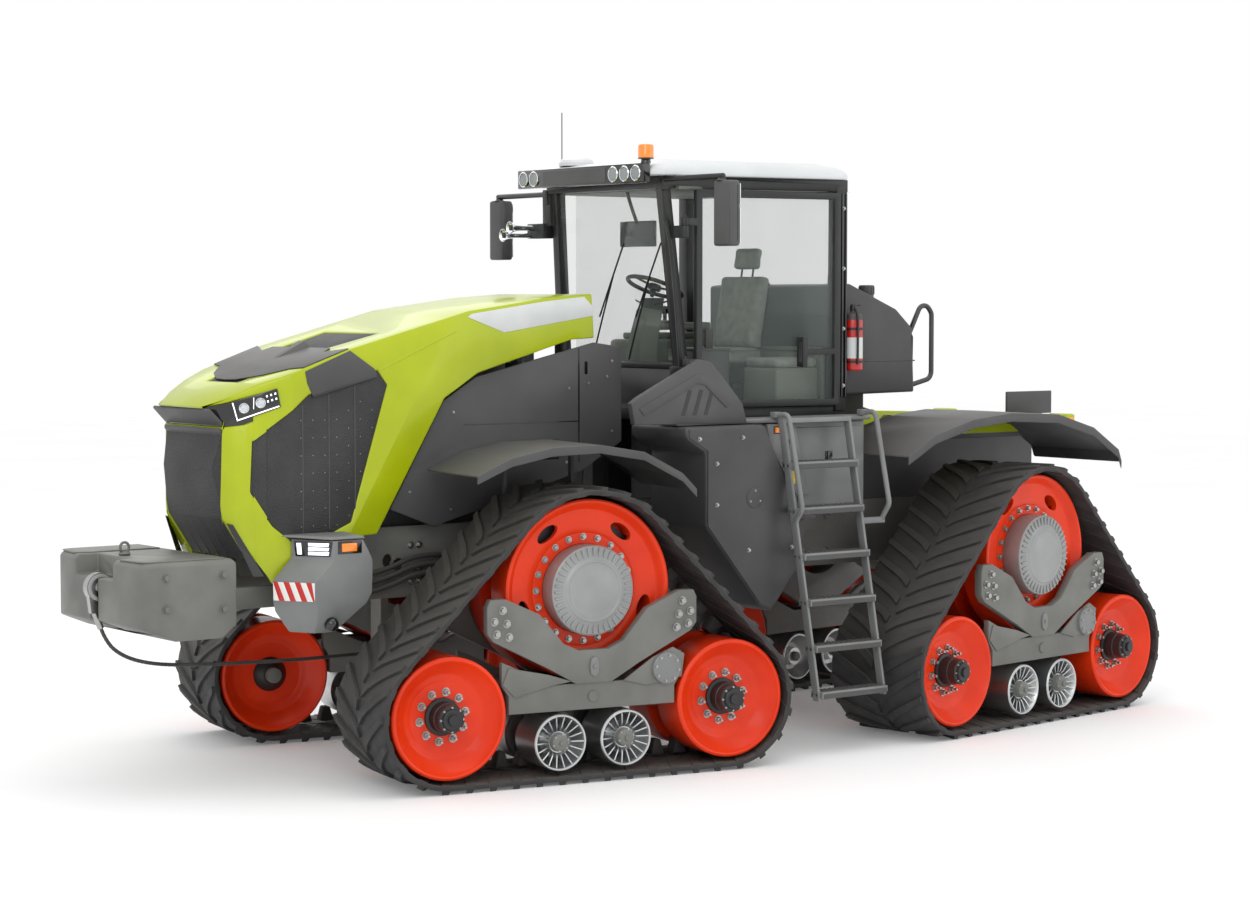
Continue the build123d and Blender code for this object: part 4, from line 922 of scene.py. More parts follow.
def stacked(name, rings):
    """A closed body through rings of corner points, one above the other."""
    count = len(rings[0])
    corners = [Vector(point) for ring in rings for point in ring]
    faces = [tuple(range(count)), tuple(range(len(corners) - count, len(corners)))]
    for level in range(len(rings) - 1):
        base = level * count
        for index in range(count):
            after = (index + 1) % count
            faces.append((base + index, base + after, base + count + after, base + count + index))
    mesh = bpy.data.meshes.new(name)
    mesh.from_pydata(corners, [], faces)
    piece = bpy.data.objects.new(name, mesh)
    bpy.context.scene.collection.objects.link(piece)
    hold(piece)
    bpy.ops.object.mode_set(mode="EDIT")
    square_up()
    return piece


def lerp(a, b, share):
    return tuple(p + (q - p) * share for p, q in zip(a, b))


CHEEK_BACK = (3.45, 0.56)
CHEEK_MID = (3.76, 0.40)
CHEEK_OUT = (0.16, 0.31, 0.0)


def on_cheek(x, z, lift=0.0):
    """A point on the cheek's slanted face, lifted off it."""
    share = (x - CHEEK_BACK[0]) / (CHEEK_MID[0] - CHEEK_BACK[0])
    y = CHEEK_BACK[1] + share * (CHEEK_MID[1] - CHEEK_BACK[1])
    off = Vector(CHEEK_OUT).normalized() * lift
    return (x + off.x, y + off.y, z)


def crown_z(x, lift=0.0):
    """Height of the hood's front crown at a place."""
    return 2.4 + (3.62 - x) * 0.3509 + lift


def hood_trim():
    half = [(3.595, 0.0), (3.585, 0.12), (3.505, 0.30), (3.392, 0.43), (3.368, 0.548), (3.056, 0.548),
            (3.125, 0.37), (3.062, 0.345), (3.062, 0.10), (3.10, 0.0)]
    outline = half + [(x, -y) for x, y in reversed(half[1:-1])]
    insert = patch("crown_insert", [(x, y, crown_z(x)) for x, y in outline], (0.331, 0, 0.944), 0.008, 0.003)
    ridge = stacked("crown_ridge", [[(3.30, 0.035, crown_z(3.30)), (3.30, -0.035, crown_z(3.30)),
                                     (3.04, -0.075, crown_z(3.04)), (3.04, 0.075, crown_z(3.04))],
                                    [(3.24, 0.012, crown_z(3.24, 0.010)), (3.24, -0.012, crown_z(3.24, 0.010)),
                                     (3.06, -0.040, crown_z(3.06, 0.048)), (3.06, 0.040, crown_z(3.06, 0.048))]])
    rounded(ridge, 0.006, 2, 20)
    finished(joined([insert, ridge]), "hood", GRAPHITE, "dark_plastic")
    side = [(3.366, 0.558, 2.470), (3.056, 0.558, 2.590), (2.885, 0.558, 2.478), (2.866, 0.558, 2.440),
            (3.317, 0.558, 2.325), (3.352, 0.558, 2.400)]
    finished(mirrored(patch("shoulder_panel", side, (0, 1, 0), 0.007, 0.003)), "hood", GRAPHITE, "dark_plastic")
    lip = [(2.870, 0.556, 2.445), (3.315, 0.556, 2.330), (3.315, 0.556, 2.314), (2.868, 0.556, 2.428)]
    slot = [on_cheek(3.800, 1.580), on_cheek(3.765, 1.570), on_cheek(3.605, 1.262), on_cheek(3.660, 1.262)]
    dark = [patch("shoulder_gap", lip, (0, 1, 0), 0.006, 0.001),
            patch("cheek_slot", slot, CHEEK_OUT, 0.006, 0.002)]
    finished(mirrored(joined(dark)), "hood", TRIM, "gloss_black")
    stripe = [(1.30, 0.528, 2.912), (1.62, 0.539, 2.882), (2.18, 0.557, 2.806), (2.21, 0.558, 2.786),
              (1.93, 0.549, 2.690), (1.235, 0.526, 2.790), (1.215, 0.525, 2.835)]
    for point in range(len(stripe)):
        x, y, z = stripe[point]
        stripe[point] = (x, 0.5215 + (x - 1.1) / 1.2 * 0.04, z)
    finished(mirrored(patch("flank_stripe", stripe, (0, 1, 0), 0.0015, 0.0004)), "hood", DECAL)
    fold = []
    for x0, x1 in ((2.30, 2.62), (2.62, 2.84)):
        z0 = 2.70 - (x0 - 2.30) * 0.42
        z1 = 2.70 - (x1 - 2.30) * 0.42
        fold.append(stacked("flank_fold", [[(x0, 0.556, z0 - 0.008), (x0, 0.556, z0 + 0.008), (x1, 0.556, z1 + 0.008),
                                            (x1, 0.556, z1 - 0.008)],
                                           [(x0, 0.5625, z0 - 0.002), (x0, 0.5625, z0 + 0.002),
                                            (x1, 0.5625, z1 + 0.002), (x1, 0.5625, z1 - 0.002)]]))
    finished(mirrored(joined(fold)), "hood", LIME, "green_paint")


def cheek_fillers():
    """Closes the narrow gap behind each cheek: mesh in the middle, lime above and below."""
    flat = -0.010
    middle = [on_cheek(3.588, 1.602, flat), on_cheek(3.660, 1.735, flat), on_cheek(3.660, 2.064, flat),
              on_cheek(3.588, 2.125, flat)]
    finished(mirrored(patch("cheek_mesh", middle, CHEEK_OUT, 0.004, 0.0005)), "hood", MESH, "grille_dark")
    low = [on_cheek(3.588, 1.262, flat), on_cheek(3.656, 1.365, flat), on_cheek(3.656, 1.738, flat),
           on_cheek(3.588, 1.614, flat)]
    high = [on_cheek(3.588, 2.118, flat), on_cheek(3.656, 2.062, flat), on_cheek(3.656, 2.220, flat),
            on_cheek(3.588, 2.245, flat)]
    closed = [patch("cheek_filler", corners, CHEEK_OUT, 0.0102, 0.0003) for corners in (low, high)]
    finished(mirrored(joined(closed)), "hood", LIME, "green_paint")


def grille_studs():
    """Rows of small rivets that hold the mesh, on both flanks."""
    clear_bench()
    bpy.ops.mesh.primitive_uv_sphere_add(segments=8, ring_count=6, radius=0.0038, location=(0, 0, 0))
    stud = named("mesh_studs")
    steps = []
    for column in range(7):
        x = 2.90 + column * 0.082
        low = 1.50 + max(0.0, (3.08 - x)) * 3.2
        high = 2.36 - (x - 2.90) * 0.22
        count = int((high - low) / 0.105)
        for row in range(max(count, 0)):
            steps.append((x, 0.5515, low + 0.05 + row * 0.105))
    stud = row_of(stud, steps + [(x, -y, z) for x, y, z in steps])
    finished(stud, "hood", ZINC, "zinc")


def mesh_ribs():
    """Vertical stiffeners pressed into the flank mesh and the nose grille."""
    ribs = []
    for x, low, high in ((3.02, 1.62, 2.38), (3.20, 1.52, 2.33), (3.38, 1.45, 2.27)):
        rib = slab("flank_ribs", (x - 0.004, 0.549, low), (x + 0.004, 0.556, high))
        ribs.append(rounded(rib, 0.002, 1))
    ribs = [mirrored(joined(ribs))]
    for y in (-0.22, -0.11, 0.0, 0.11, 0.22):
        rib = stacked("nose_ribs", [[(3.790, y - 0.004, 2.09), (3.838, y - 0.004, 1.90), (3.800, y - 0.004, 1.60),
                                     (3.640, y - 0.004, 1.345)],
                                    [(3.790, y + 0.004, 2.09), (3.838, y + 0.004, 1.90), (3.800, y + 0.004, 1.60),
                                     (3.640, y + 0.004, 1.345)]])
        ribs.append(rib)
    finished(joined(ribs), "hood", GRAPHITE, "grille_dark")


def headlights():
    """Each side: a black bezel, a light-guide outline, two projectors and a row of small lenses."""
    top_front, low_front = on_cheek(3.775, 2.292), on_cheek(3.745, 2.172)
    low_back, top_back = on_cheek(3.512, 2.262), on_cheek(3.530, 2.372)
    bezel = patch("lamp_bezel", [top_front, low_front, low_back, top_back], CHEEK_OUT, 0.010, 0.004)
    finished(mirrored(bezel), "hood", TRIM, "gloss_black")
    out = Vector(CHEEK_OUT).normalized()
    lift = out * 0.011

    def place(u, v):
        """A point on the bezel: u from front to back, v from bottom to top."""
        point = Vector(lerp(lerp(low_front, low_back, u), lerp(top_front, top_back, u), v))
        return tuple(point + lift)

    guides = [patch("light_guides", [place(0.03, 0.05), place(0.97, 0.05), place(0.97, 0.11), place(0.03, 0.11)],
                    CHEEK_OUT, 0.003, 0.001),
              patch("guide_front", [place(0.03, 0.05), place(0.05, 0.05), place(0.055, 0.94), place(0.03, 0.94)],
                    CHEEK_OUT, 0.003, 0.001),
              patch("guide_mid", [place(0.42, 0.35), place(0.435, 0.35), place(0.495, 0.90), place(0.48, 0.90)],
                    CHEEK_OUT, 0.003, 0.001)]
    for u in (0.74, 0.83, 0.92):
        for v in (0.45, 0.72):
            guides.append(patch("guide_dot", [place(u, v), place(u + 0.035, v), place(u + 0.035, v + 0.10),
                                              place(u, v + 0.10)], CHEEK_OUT, 0.003, 0.001))
    finished(mirrored(joined(guides)), "hood", LED, "lamp_lens")
    bowls = []
    for u in (0.24, 0.60):
        bowl = turned("projector_bowls", [(0.0, 0.004), (0.020, 0.004), (0.027, 0.010), (0.030, 0.010), (0.032, 0.0),
                                          (0.0, 0.0)], (0, 0, 0), "X", 24)
        turn = Vector((1, 0, 0)).rotation_difference(out).to_matrix().to_4x4()
        bowl.data.transform(Matrix.Translation(place(u, 0.54)) @ turn)
        bowls.append(bowl)
    finished(mirrored(joined(bowls)), "hood", CHROME)
    eyes = []
    for u in (0.24, 0.60):
        clear_bench()
        bpy.ops.mesh.primitive_uv_sphere_add(segments=20, ring_count=12, radius=0.019, location=place(u, 0.54))
        eyes.append(named("projector_lens"))
    finished(mirrored(joined(eyes)), "hood", LENS, "lamp_lens")


def nose_bar():
    """The plain dark bar across the nose and the ledge under it."""
    bar = stacked("nose_bar", [[(3.800, y, 2.172), (3.888, y, 2.255), (3.896, y, 2.240), (3.812, y, 2.152)]
                               for y in (-0.352, 0.352)])
    ledge = stacked("nose_ledge", [[(3.772, y, 2.118), (3.822, y, 2.140), (3.826, y, 2.118), (3.800, y, 2.085)]
                                   for y in (-0.345, 0.345)])
    finished(joined([rounded(bar, 0.004, 2), rounded(ledge, 0.006, 2)]), "hood", GRAPHITE, "dark_plastic")


def lamp_boxes():
    """A cast box at each front corner: sloped brow, lamp cluster, side lamp and warning stripes."""
    rings = [[(3.50, 0.58, 0.935), (3.42, 0.74, 0.935), (3.28, 0.74, 0.935), (3.28, 0.58, 0.935)],
             [(3.585, 0.566, 1.06), (3.43, 0.795, 1.06), (3.09, 0.795, 1.10), (3.09, 0.566, 1.10)],
             [(3.60, 0.566, 1.12), (3.443, 0.80, 1.12), (3.055, 0.80, 1.16), (3.055, 0.566, 1.16)],
             [(3.60, 0.566, 1.245), (3.443, 0.80, 1.245), (3.050, 0.80, 1.30), (3.050, 0.566, 1.30)],
             [(3.475, 0.566, 1.375), (3.318, 0.80, 1.362), (3.052, 0.80, 1.362), (3.052, 0.566, 1.375)],
             [(3.475, 0.566, 1.485), (3.318, 0.80, 1.478), (3.115, 0.80, 1.478), (3.115, 0.566, 1.485)]]
    box = rounded(stacked("lamp_boxes", rings), 0.008, 2, 20)
    brow = stacked("lamp_brow", [[(3.55, 0.570, 1.500), (3.335, 0.800, 1.485), (3.100, 0.800, 1.485), (3.100, 0.568, 1.500)],
                                 [(3.53, 0.580, 1.512), (3.325, 0.795, 1.503), (3.120, 0.795, 1.503), (3.120, 0.575, 1.512)]])
    finished(mirrored(joined([box, rounded(brow, 0.004, 2)])), "chassis", SHEET, "grey_cast", ("corner_lamp_boxes",))
    front = Vector((0.234, 0.157, 0)).normalized()
    low_in, low_out = Vector((3.475, 0.566, 0)), Vector((3.318, 0.80, 0))

    def face(u, z, lift=0.0):
        point = low_in + (low_out - low_in) * u + front * lift
        return (point.x, point.y, z)

    recess = patch("cluster_recess", [face(0.12, 1.385), face(0.92, 1.385), face(0.97, 1.472), face(0.08, 1.472)],
                   front, 0.004, 0.001)
    finished(mirrored(recess), "chassis", TRIM, "gloss_black")
    bars = []
    for index in range(3):
        low = 1.393 + index * 0.026
        bars.append(patch("cluster_bars", [face(0.42, low, 0.005), face(0.88, low, 0.005), face(0.90, low + 0.019, 0.005),
                                           face(0.42, low + 0.019, 0.005)], front, 0.004, 0.001))
    bars.append(patch("cluster_mark", [face(0.17, 1.395, 0.005), face(0.27, 1.395, 0.005), face(0.25, 1.462, 0.005),
                                       face(0.15, 1.462, 0.005)], front, 0.004, 0.001))
    finished(mirrored(joined(bars)), "chassis", LED, "lamp_lens")
    side = rounded(slab("corner_markers", (3.165, 0.798, 1.412), (3.268, 0.812, 1.462)), 0.005, 2)
    finished(mirrored(side), "chassis", AMBER)
    shade = rounded(slab("marker_frames", (3.130, 0.797, 1.400), (3.290, 0.806, 1.474)), 0.003, 2)
    finished(mirrored(shade), "chassis", TRIM, "gloss_black")
    base_in, base_out = Vector((3.60, 0.566, 0)), Vector((3.443, 0.80, 0))

    def board(u, z):
        point = base_in + (base_out - base_in) * u
        return (point.x, point.y, z)

    reds, whites = [], []
    width = 0.26
    for index in range(-1, 5):
        left, right = index * width, (index + 0.5) * width
        for parts, start, end in ((reds, left, right), (whites, right, (index + 1) * width)):
            lean = 0.16
            corners = []
            for u, z in ((start + lean, 1.128), (end + lean, 1.128), (end, 1.238), (start, 1.238)):
                corners.append((min(max(u, 0.02), 0.98), z))
            if corners[1][0] - corners[0][0] < 0.02 and corners[2][0] - corners[3][0] < 0.02:
                continue
            name = "warning_red" if parts is reds else "warning_white"
            ring = [board(u, z) for u, z in corners]
            keep = [ring[k] for k in range(4) if (Vector(ring[k]) - Vector(ring[k - 1])).length > 0.001]
            if len(keep) > 2:
                parts.append(patch(name, keep, front, 0.003, 0.0005))
    finished(mirrored(joined(reds)), "chassis", WARN_RED)
    finished(mirrored(joined(whites)), "chassis", WARN_WHITE)
    clear_bench()
    bpy.ops.mesh.primitive_uv_sphere_add(segments=28, ring_count=16, radius=0.044, location=(3.322, 0.772, 0.985))
    dome = named("camera_domes")
    finished(mirrored(dome), "chassis", TRIM, "gloss_black")


def flank_details():
    """Seams, latches, vents and screws on the engine's fixed flank panels."""
    seams = [slab("flank_seams", (1.318, 0.496, 1.86), (1.326, 0.5025, 2.585)),
             slab("flank_seam_low", (1.326, 0.496, 2.118), (2.20, 0.5025, 2.124))]
    for index in range(5):
        seams.append(rounded(slab("flank_vents", (1.48, 0.494, 1.995 - index * 0.028), (1.80, 0.5035, 2.007 - index * 0.028)),
                             0.002, 1))
    seams.append(slab("latch_gap", (1.255, 0.498, 2.42), (1.275, 0.5035, 2.50)))
    finished(mirrored(joined(seams)), "chassis", TRIM, "gloss_black")
    latches = []
    for x, z in ((1.40, 2.33), (1.245, 2.36), (1.10, 2.40), (2.28, 2.20), (2.60, 1.72), (1.42, 1.86), (2.30, 1.60),
                 (1.06, 2.05), (1.06, 2.50)):
        latches.append(bolt("flank_screws", (x, 0.500, z), 0.013))
    finished(mirrored(joined(latches)), "chassis", ZINC, "zinc")


def weight_details():
    """Screws, lifting pad and the thimble's clasp on the front weight."""
    parts = []
    for x, z in ((4.30, 1.30), (4.30, 1.12), (3.93, 1.30), (3.93, 1.10)):
        parts.append(bolt("weight_bolts", (x, 0.575, z), 0.034))
    parts = [mirrored(joined(parts))]
    for y in (-0.17, 0.17):
        parts.append(bolt("pocket_bolt", (4.36, y, 1.27), 0.03, "Z"))
    finished(joined(parts), "chassis", CAST, "grey_cast")
    rim = turned("thimble_rim", [(0.058, 0.029), (0.080, 0.029), (0.0855, 0.024), (0.0855, -0.024), (0.080, -0.029),
                                 (0.058, -0.029)], (4.44, 0, 1.212), "Y", 40)
    rounded(rim, 0.003, 2)
    nut = bolt("thimble_nut", (4.44, 0.028, 1.212), 0.044)
    finished(joined([rim, nut]), "chassis", PALE_PLASTIC)
    lips = []
    for side in (1, -1):
        plan = [(4.20, 0.262), (4.36, 0.262), (4.455, 0.30), (4.420, 0.52), (4.36, 0.548), (3.90, 0.548), (3.90, 0.262)]
        lip = plate("weight_crest", [(x, side * y) for x, y in plan], "Z", 1.388, 1.398)
        lips.append(rounded(lip, 0.006, 2))
    finished(joined(lips), "chassis", CAST, "grey_cast")


def frame_fittings():
    """Bolt rows and hose stubs along the main frame's outer faces."""
    heads = []
    for x in (2.44, 2.50, 3.05, 3.12):
        for z in (1.16, 1.24, 1.38):
            heads.append(bolt("frame_bolts", (x, 0.350, z), 0.030))
    for x in (-0.9, -0.7, -2.7, -2.8, 0.3, 0.5):
        heads.append(bolt("frame_bolt", (x, 0.350, 1.40), 0.030))
        heads.append(bolt("frame_bolt", (x, 0.350, 1.16), 0.030))
    finished(mirrored(joined(heads)), "chassis", ZINC, "zinc")
    hoses = []
    for offset in (0.0, 0.055, 0.11):
        hoses.append(pipe("frame_hoses", [(2.20, 0.37, 1.30 - offset), (2.45, 0.40, 1.34 - offset),
                                          (2.75, 0.395, 1.22 - offset), (3.00, 0.37, 1.20 - offset)], 0.016))
    finished(mirrored(joined(hoses)), "chassis", RUBBER)


# ======================= cab, seat and rear =======================

def stuffed(name, low, high, swell, cap, edge=0.03):
    """A padded block: its corners rounded, then swollen by a pressurised cloth, held within a cap."""
    pad = rounded(slab(name, low, high), edge, 3)
    applied(pad, "REMESH", mode="VOXEL", voxel_size=0.006)
    start = [vertex.co.copy() for vertex in pad.data.vertices]
    group = pad.vertex_groups.new(name="held")
    held = [vertex.index for vertex in pad.data.vertices if vertex.co.z < low[2] + 0.012]
    group.add(held, 1.0, "REPLACE")
    hold(pad)
    cloth = pad.modifiers.new("Cloth", "CLOTH")
    cloth.settings.use_pressure = True
    cloth.settings.uniform_pressure_force = swell
    cloth.settings.effector_weights.gravity = 0
    cloth.settings.vertex_group_mass = "held"
    cloth.point_cache.frame_start = 1
    cloth.point_cache.frame_end = 20
    for step in range(1, 21):
        bpy.context.scene.frame_set(step)
    hold(pad)
    bpy.ops.object.modifier_apply(modifier=cloth.name)
    bpy.context.scene.frame_set(1)
    for vertex, before in zip(pad.data.vertices, start):
        moved = vertex.co - before
        if moved.length > cap:
            vertex.co = before + moved * (cap / moved.length)
    pad.vertex_groups.clear()
    return applied(pad, "SUBSURF", levels=1, render_levels=1)


def piping(name, low, high, z, inset=0.0):
    """A sewn bead round a cushion's upper edge."""
    x0, y0, x1, y1 = low[0] + inset, low[1] + inset, high[0] - inset, high[1] - inset
    bend = 0.035
    points = [(x0, y0 + bend, z), (x0, y0, z), (x0 + bend, y0, z), ((x0 + x1) / 2, y0, z), (x1 - bend, y0, z), (x1, y0, z),
              (x1, y0 + bend, z), (x1, (y0 + y1) / 2, z), (x1, y1 - bend, z), (x1, y1, z), (x1 - bend, y1, z),
              ((x0 + x1) / 2, y1, z), (x0 + bend, y1, z), (x0, y1, z), (x0, y1 - bend, z), (x0, (y0 + y1) / 2, z)]
    return pipe(name, points, 0.004, 8, True)


def operator_seat():
    """Seat cushion, back and headrest in light cloth, on a bellows pedestal."""
    low, high = (-0.428, -0.238, 2.455), (0.048, 0.238, 2.556)
    cushion = stuffed("seat_cushion", low, high, 4.0, 0.012)
    finished(cushion, "seat", CLOTH, "seat_fabric", ("seat",), angle=60)
    lean = Matrix.Translation((-0.385, 0, 2.565)) @ Matrix.Rotation(math.radians(-9.6), 4, "Y")
    back = stuffed("seat_back", (-0.045, -0.228, 0.0), (0.045, 0.228, 0.500), 4.0, 0.010)
    back.data.transform(lean)
    finished(back, "seat", CLOTH, "seat_fabric", angle=60)
    head = stuffed("seat_headrest", (-0.032, -0.120, 0.545), (0.034, 0.120, 0.690), 4.0, 0.007, 0.025)
    head.data.transform(lean)
    finished(head, "seat", CLOTH, "seat_fabric", angle=60)
    bead = piping("seat_piping", low, high, 2.548, 0.004)
    finished(bead, "seat", VINYL)
    hard = [rod("seat_pedestal", (-0.195, 0, 2.352), 0.108, 0.042, "Z", 40)]
    for level in range(4):
        hard.append(turned("seat_bellows", [(0.0, -0.010), (0.090, -0.010), (0.112, 0.0), (0.090, 0.010), (0.0, 0.010)],
                           (-0.195, 0, 2.378 + level * 0.018), "Z", 40))
    pan = rounded(slab("seat_pan", (-0.415, -0.225, 2.440), (0.030, 0.225, 2.458)), 0.006, 2)
    hard.append(pan)
    shell = rounded(slab("seat_shell", (-0.062, -0.20, 0.02), (-0.040, 0.20, 0.46)), 0.008, 2)
    shell.data.transform(lean)
    posts = [rod("seat_posts", (-0.01, y, 0.53), 0.007, 0.09, "Z", 12) for y in (-0.06, 0.06)]
    for post_piece in posts:
        post_piece.data.transform(lean)
    hard += [shell, *posts]
    finished(joined(hard), "seat", CAB_DARK)
    rest = [rounded(slab("seat_armrest", (-0.375, -0.328, 2.685), (0.058, -0.262, 2.738)), 0.016, 3),
            rounded(slab("armrest_console", (-0.10, -0.326, 2.736), (0.052, -0.264, 2.752)), 0.006, 2),
            rounded(slab("armrest_bracket", (-0.375, -0.326, 2.505), (-0.325, -0.242, 2.695)), 0.010, 2)]
    finished(joined(rest), "seat", VINYL)
    stick = [rounded(rod("drive_lever", (0.010, -0.295, 2.778), 0.014, 0.052, "Z", 16), 0.004, 2),
             rounded(slab("drive_lever_grip", (-0.012, -0.315, 2.795), (0.038, -0.275, 2.850)), 0.012, 3)]
    finished(joined(stick), "seat", TRIM)


def steering():
    """Rim, three spokes and a hub pad on the column's axis."""
    joint = joints["steering_wheel_turn"]
    spin = Vector(joint["axis"]).normalized()
    if spin.z < 0:
        spin = -spin
    place = Matrix.Translation(joint["pos_m"]) @ Vector((0, 0, 1)).rotation_difference(spin).to_matrix().to_4x4()
    rim_profile = [(0.190 + 0.0145 * math.cos(math.radians(30 * k)), 0.0145 * math.sin(math.radians(30 * k)))
                   for k in range(12)]
    rim_profile.append(rim_profile[0])
    rim = turned("steering_wheel_rim", rim_profile, (0, 0, 0), "Z", 56)
    spokes = []
    for index in range(3):
        spoke = rounded(slab("spoke", (0.035, -0.013, -0.006), (0.186, 0.013, 0.005)), 0.004, 2)
        spoke.data.transform(Matrix.Rotation(math.radians(120 * index), 4, "Z"))
        spokes.append(spoke)
    hub = turned("steering_hub", [(0.016, -0.019), (0.044, -0.019), (0.046, 0.006), (0.040, 0.017), (0.016, 0.020),
                                  (0.0, 0.021), (0.0, 0.010), (0.016, 0.008)], (0, 0, 0), "Z", 32)
    finished(joined([rim, *spokes, hub]), "steering_wheel", CAB_DARK, None, ("steering_wheel",), place)


def cab_interior():
    """What shows through the glass: lining, consoles, column cover, monitor and the second seat."""
    light = [rounded(slab("cab_lining", (-0.545, -0.68, 3.605), (0.655, 0.68, 3.628)), 0.008, 2),
             rounded(slab("rear_lining", (-0.556, -0.735, 2.19), (-0.520, 0.735, 2.545)), 0.010, 2),
             rounded(slab("right_console", (-0.46, -0.685, 2.182), (0.20, -0.43, 2.62)), 0.03, 3),
             rounded(slab("console_tray", (-0.40, -0.66, 2.62), (0.10, -0.46, 2.665)), 0.012, 2),
             rounded(slab("second_seat_base", (-0.50, 0.375, 2.182), (-0.13, 0.735, 2.44)), 0.025, 3),
             rounded(slab("rear_shelf", (-0.552, -0.70, 2.545), (-0.514, 0.72, 2.575)), 0.010, 2)]
    column = stacked("column_cover", [[(0.535, 0.085, 2.30), (0.535, -0.085, 2.30), (0.375, -0.085, 2.30), (0.375, 0.085, 2.30)],
                                      [(0.505, 0.075, 2.60), (0.505, -0.075, 2.60), (0.350, -0.075, 2.60), (0.350, 0.075, 2.60)],
                                      [(0.435, 0.065, 2.84), (0.435, -0.065, 2.84), (0.300, -0.065, 2.82), (0.300, 0.065, 2.82)]])
    light.append(rounded(column, 0.018, 3, 20))
    finished(joined(light), "chassis", VINYL)
    pad = rounded(slab("second_seat_pad", (-0.495, 0.385, 2.44), (-0.14, 0.725, 2.505)), 0.028, 4)
    finished(pad, "chassis", CLOTH, angle=60)
    dark = [rounded(slab("floor_mat", (-0.53, -0.68, 2.180), (0.47, 0.68, 2.188)), 0.002, 1),
            rounded(slab("dash_cover", (0.465, -0.60, 2.44), (0.628, 0.60, 2.478)), 0.012, 3),
            rounded(slab("pedal_left", (0.405, 0.13, 2.26), (0.425, 0.19, 2.34)), 0.006, 2),
            rounded(slab("pedal_right", (0.405, -0.22, 2.26), (0.425, -0.16, 2.34)), 0.006, 2),
            rounded(slab("side_console_top", (0.175, 0.415, 2.555), (0.425, 0.625, 2.575)), 0.006, 2)]
    for y in (0.045, -0.045):
        dark.append(pipe("column_stalks", [(0.37, y, 2.86), (0.35, y * 3.2, 2.875), (0.34, y * 4.2, 2.89)], 0.006, 8))
    finished(joined(dark), "chassis", CAB_DARK)
    case = rounded(slab("monitor_case", (0.487, -0.140, 3.244), (0.516, 0.234, 3.416)), 0.008, 2)
    arm = pipe("monitor_arm", [(0.512, 0.05, 3.40), (0.56, 0.05, 3.50), (0.60, 0.05, 3.612)], 0.012, 10)
    finished(joined([case, arm]), "chassis", TRIM)
    screen = slab("monitor_screen", (0.4845, -0.124, 3.258), (0.4868, 0.218, 3.402))
    finished(screen, "chassis", SCREEN)


def cab_outside():
    """Rails, pillar strips, mirror glass, horns, wipers and screws round the cab."""
    rails = [pipe("grab_rails", [(0.655, 0.700, 2.42), (0.690, 0.742, 2.50), (0.735, 0.700, 3.30), (0.745, 0.655, 3.40)],
                  0.013, 10)]
    for y in (0.15, -0.25):
        rails.append(pipe("wiper_arm", [(0.655, y, 2.50), (0.665, y + 0.05, 2.62), (0.712, y + 0.30, 3.05)], 0.006, 8))
        rails.append(pipe("wiper_blade", [(0.690, y + 0.12, 2.78), (0.712, y + 0.28, 3.02), (0.730, y + 0.44, 3.26)],
                          0.006, 8))
    rails.append(rounded(slab("door_lock", (0.44, 0.752, 2.58), (0.50, 0.766, 2.70)), 0.004, 2))
    finished(joined(rails), "chassis", BLACK, "black_steel")
    strips = []
    for side in (1, -1):
        for x in (-0.628, -0.596, -0.564):
            strips.append(rounded(slab("pillar_strips", (x - 0.008, side * 0.842, 2.24), (x + 0.008, side * 0.862, 3.60)),
                                  0.005, 2))
    finished(joined(strips), "chassis", TRIM, "gloss_black")
    for label, side, drop in (("left", 1, 0.0), ("right", -1, 0.06)):
        glass = rounded(slab("mirror_glass_" + label, (0.664, side * 1.180, 3.250 - drop), (0.672, side * 1.322, 3.470 - drop)),
                        0.003, 2)
        small = rounded(slab("wide_angle_glass", (0.664, side * 1.180, 3.490 - drop), (0.672, side * 1.322, 3.620 - drop)),
                        0.003, 2)
        finished(joined([glass, small]), "mirror_" + label, CHROME)
        seam = rounded(slab("mirror_seam_" + label, (0.700, side * 1.336, 3.26 - drop), (0.706, side * 1.3425, 3.61 - drop)),
                       0.001, 1)
        finished(seam, "mirror_" + label, TRIM, "gloss_black")
    horns = []
    for y, z, x0, x1 in ((-0.76, 3.38, 0.755, 0.984), (-0.80, 3.33, 0.755, 1.014)):
        horns.append(turned("air_horns", [(0.0, x0), (0.0175, x0), (0.0175, x0 + 0.02), (0.0185, x1 - 0.09), (0.022, x1 - 0.05),
                                          (0.032, x1 - 0.015), (0.044, x1), (0.040, x1), (0.026, x1 - 0.02), (0.012, x1 - 0.06),
                                          (0.0, x1 - 0.06)], (0, y, z), "X", 32))
    finished(joined(horns), "chassis", CHROME)
    screws = [bolt("cab_screws", (-0.60, 0.862, z), 0.018) for z in (2.32, 2.7, 3.1, 3.5)]
    finished(mirrored(joined(screws)), "chassis", ZINC, "zinc")


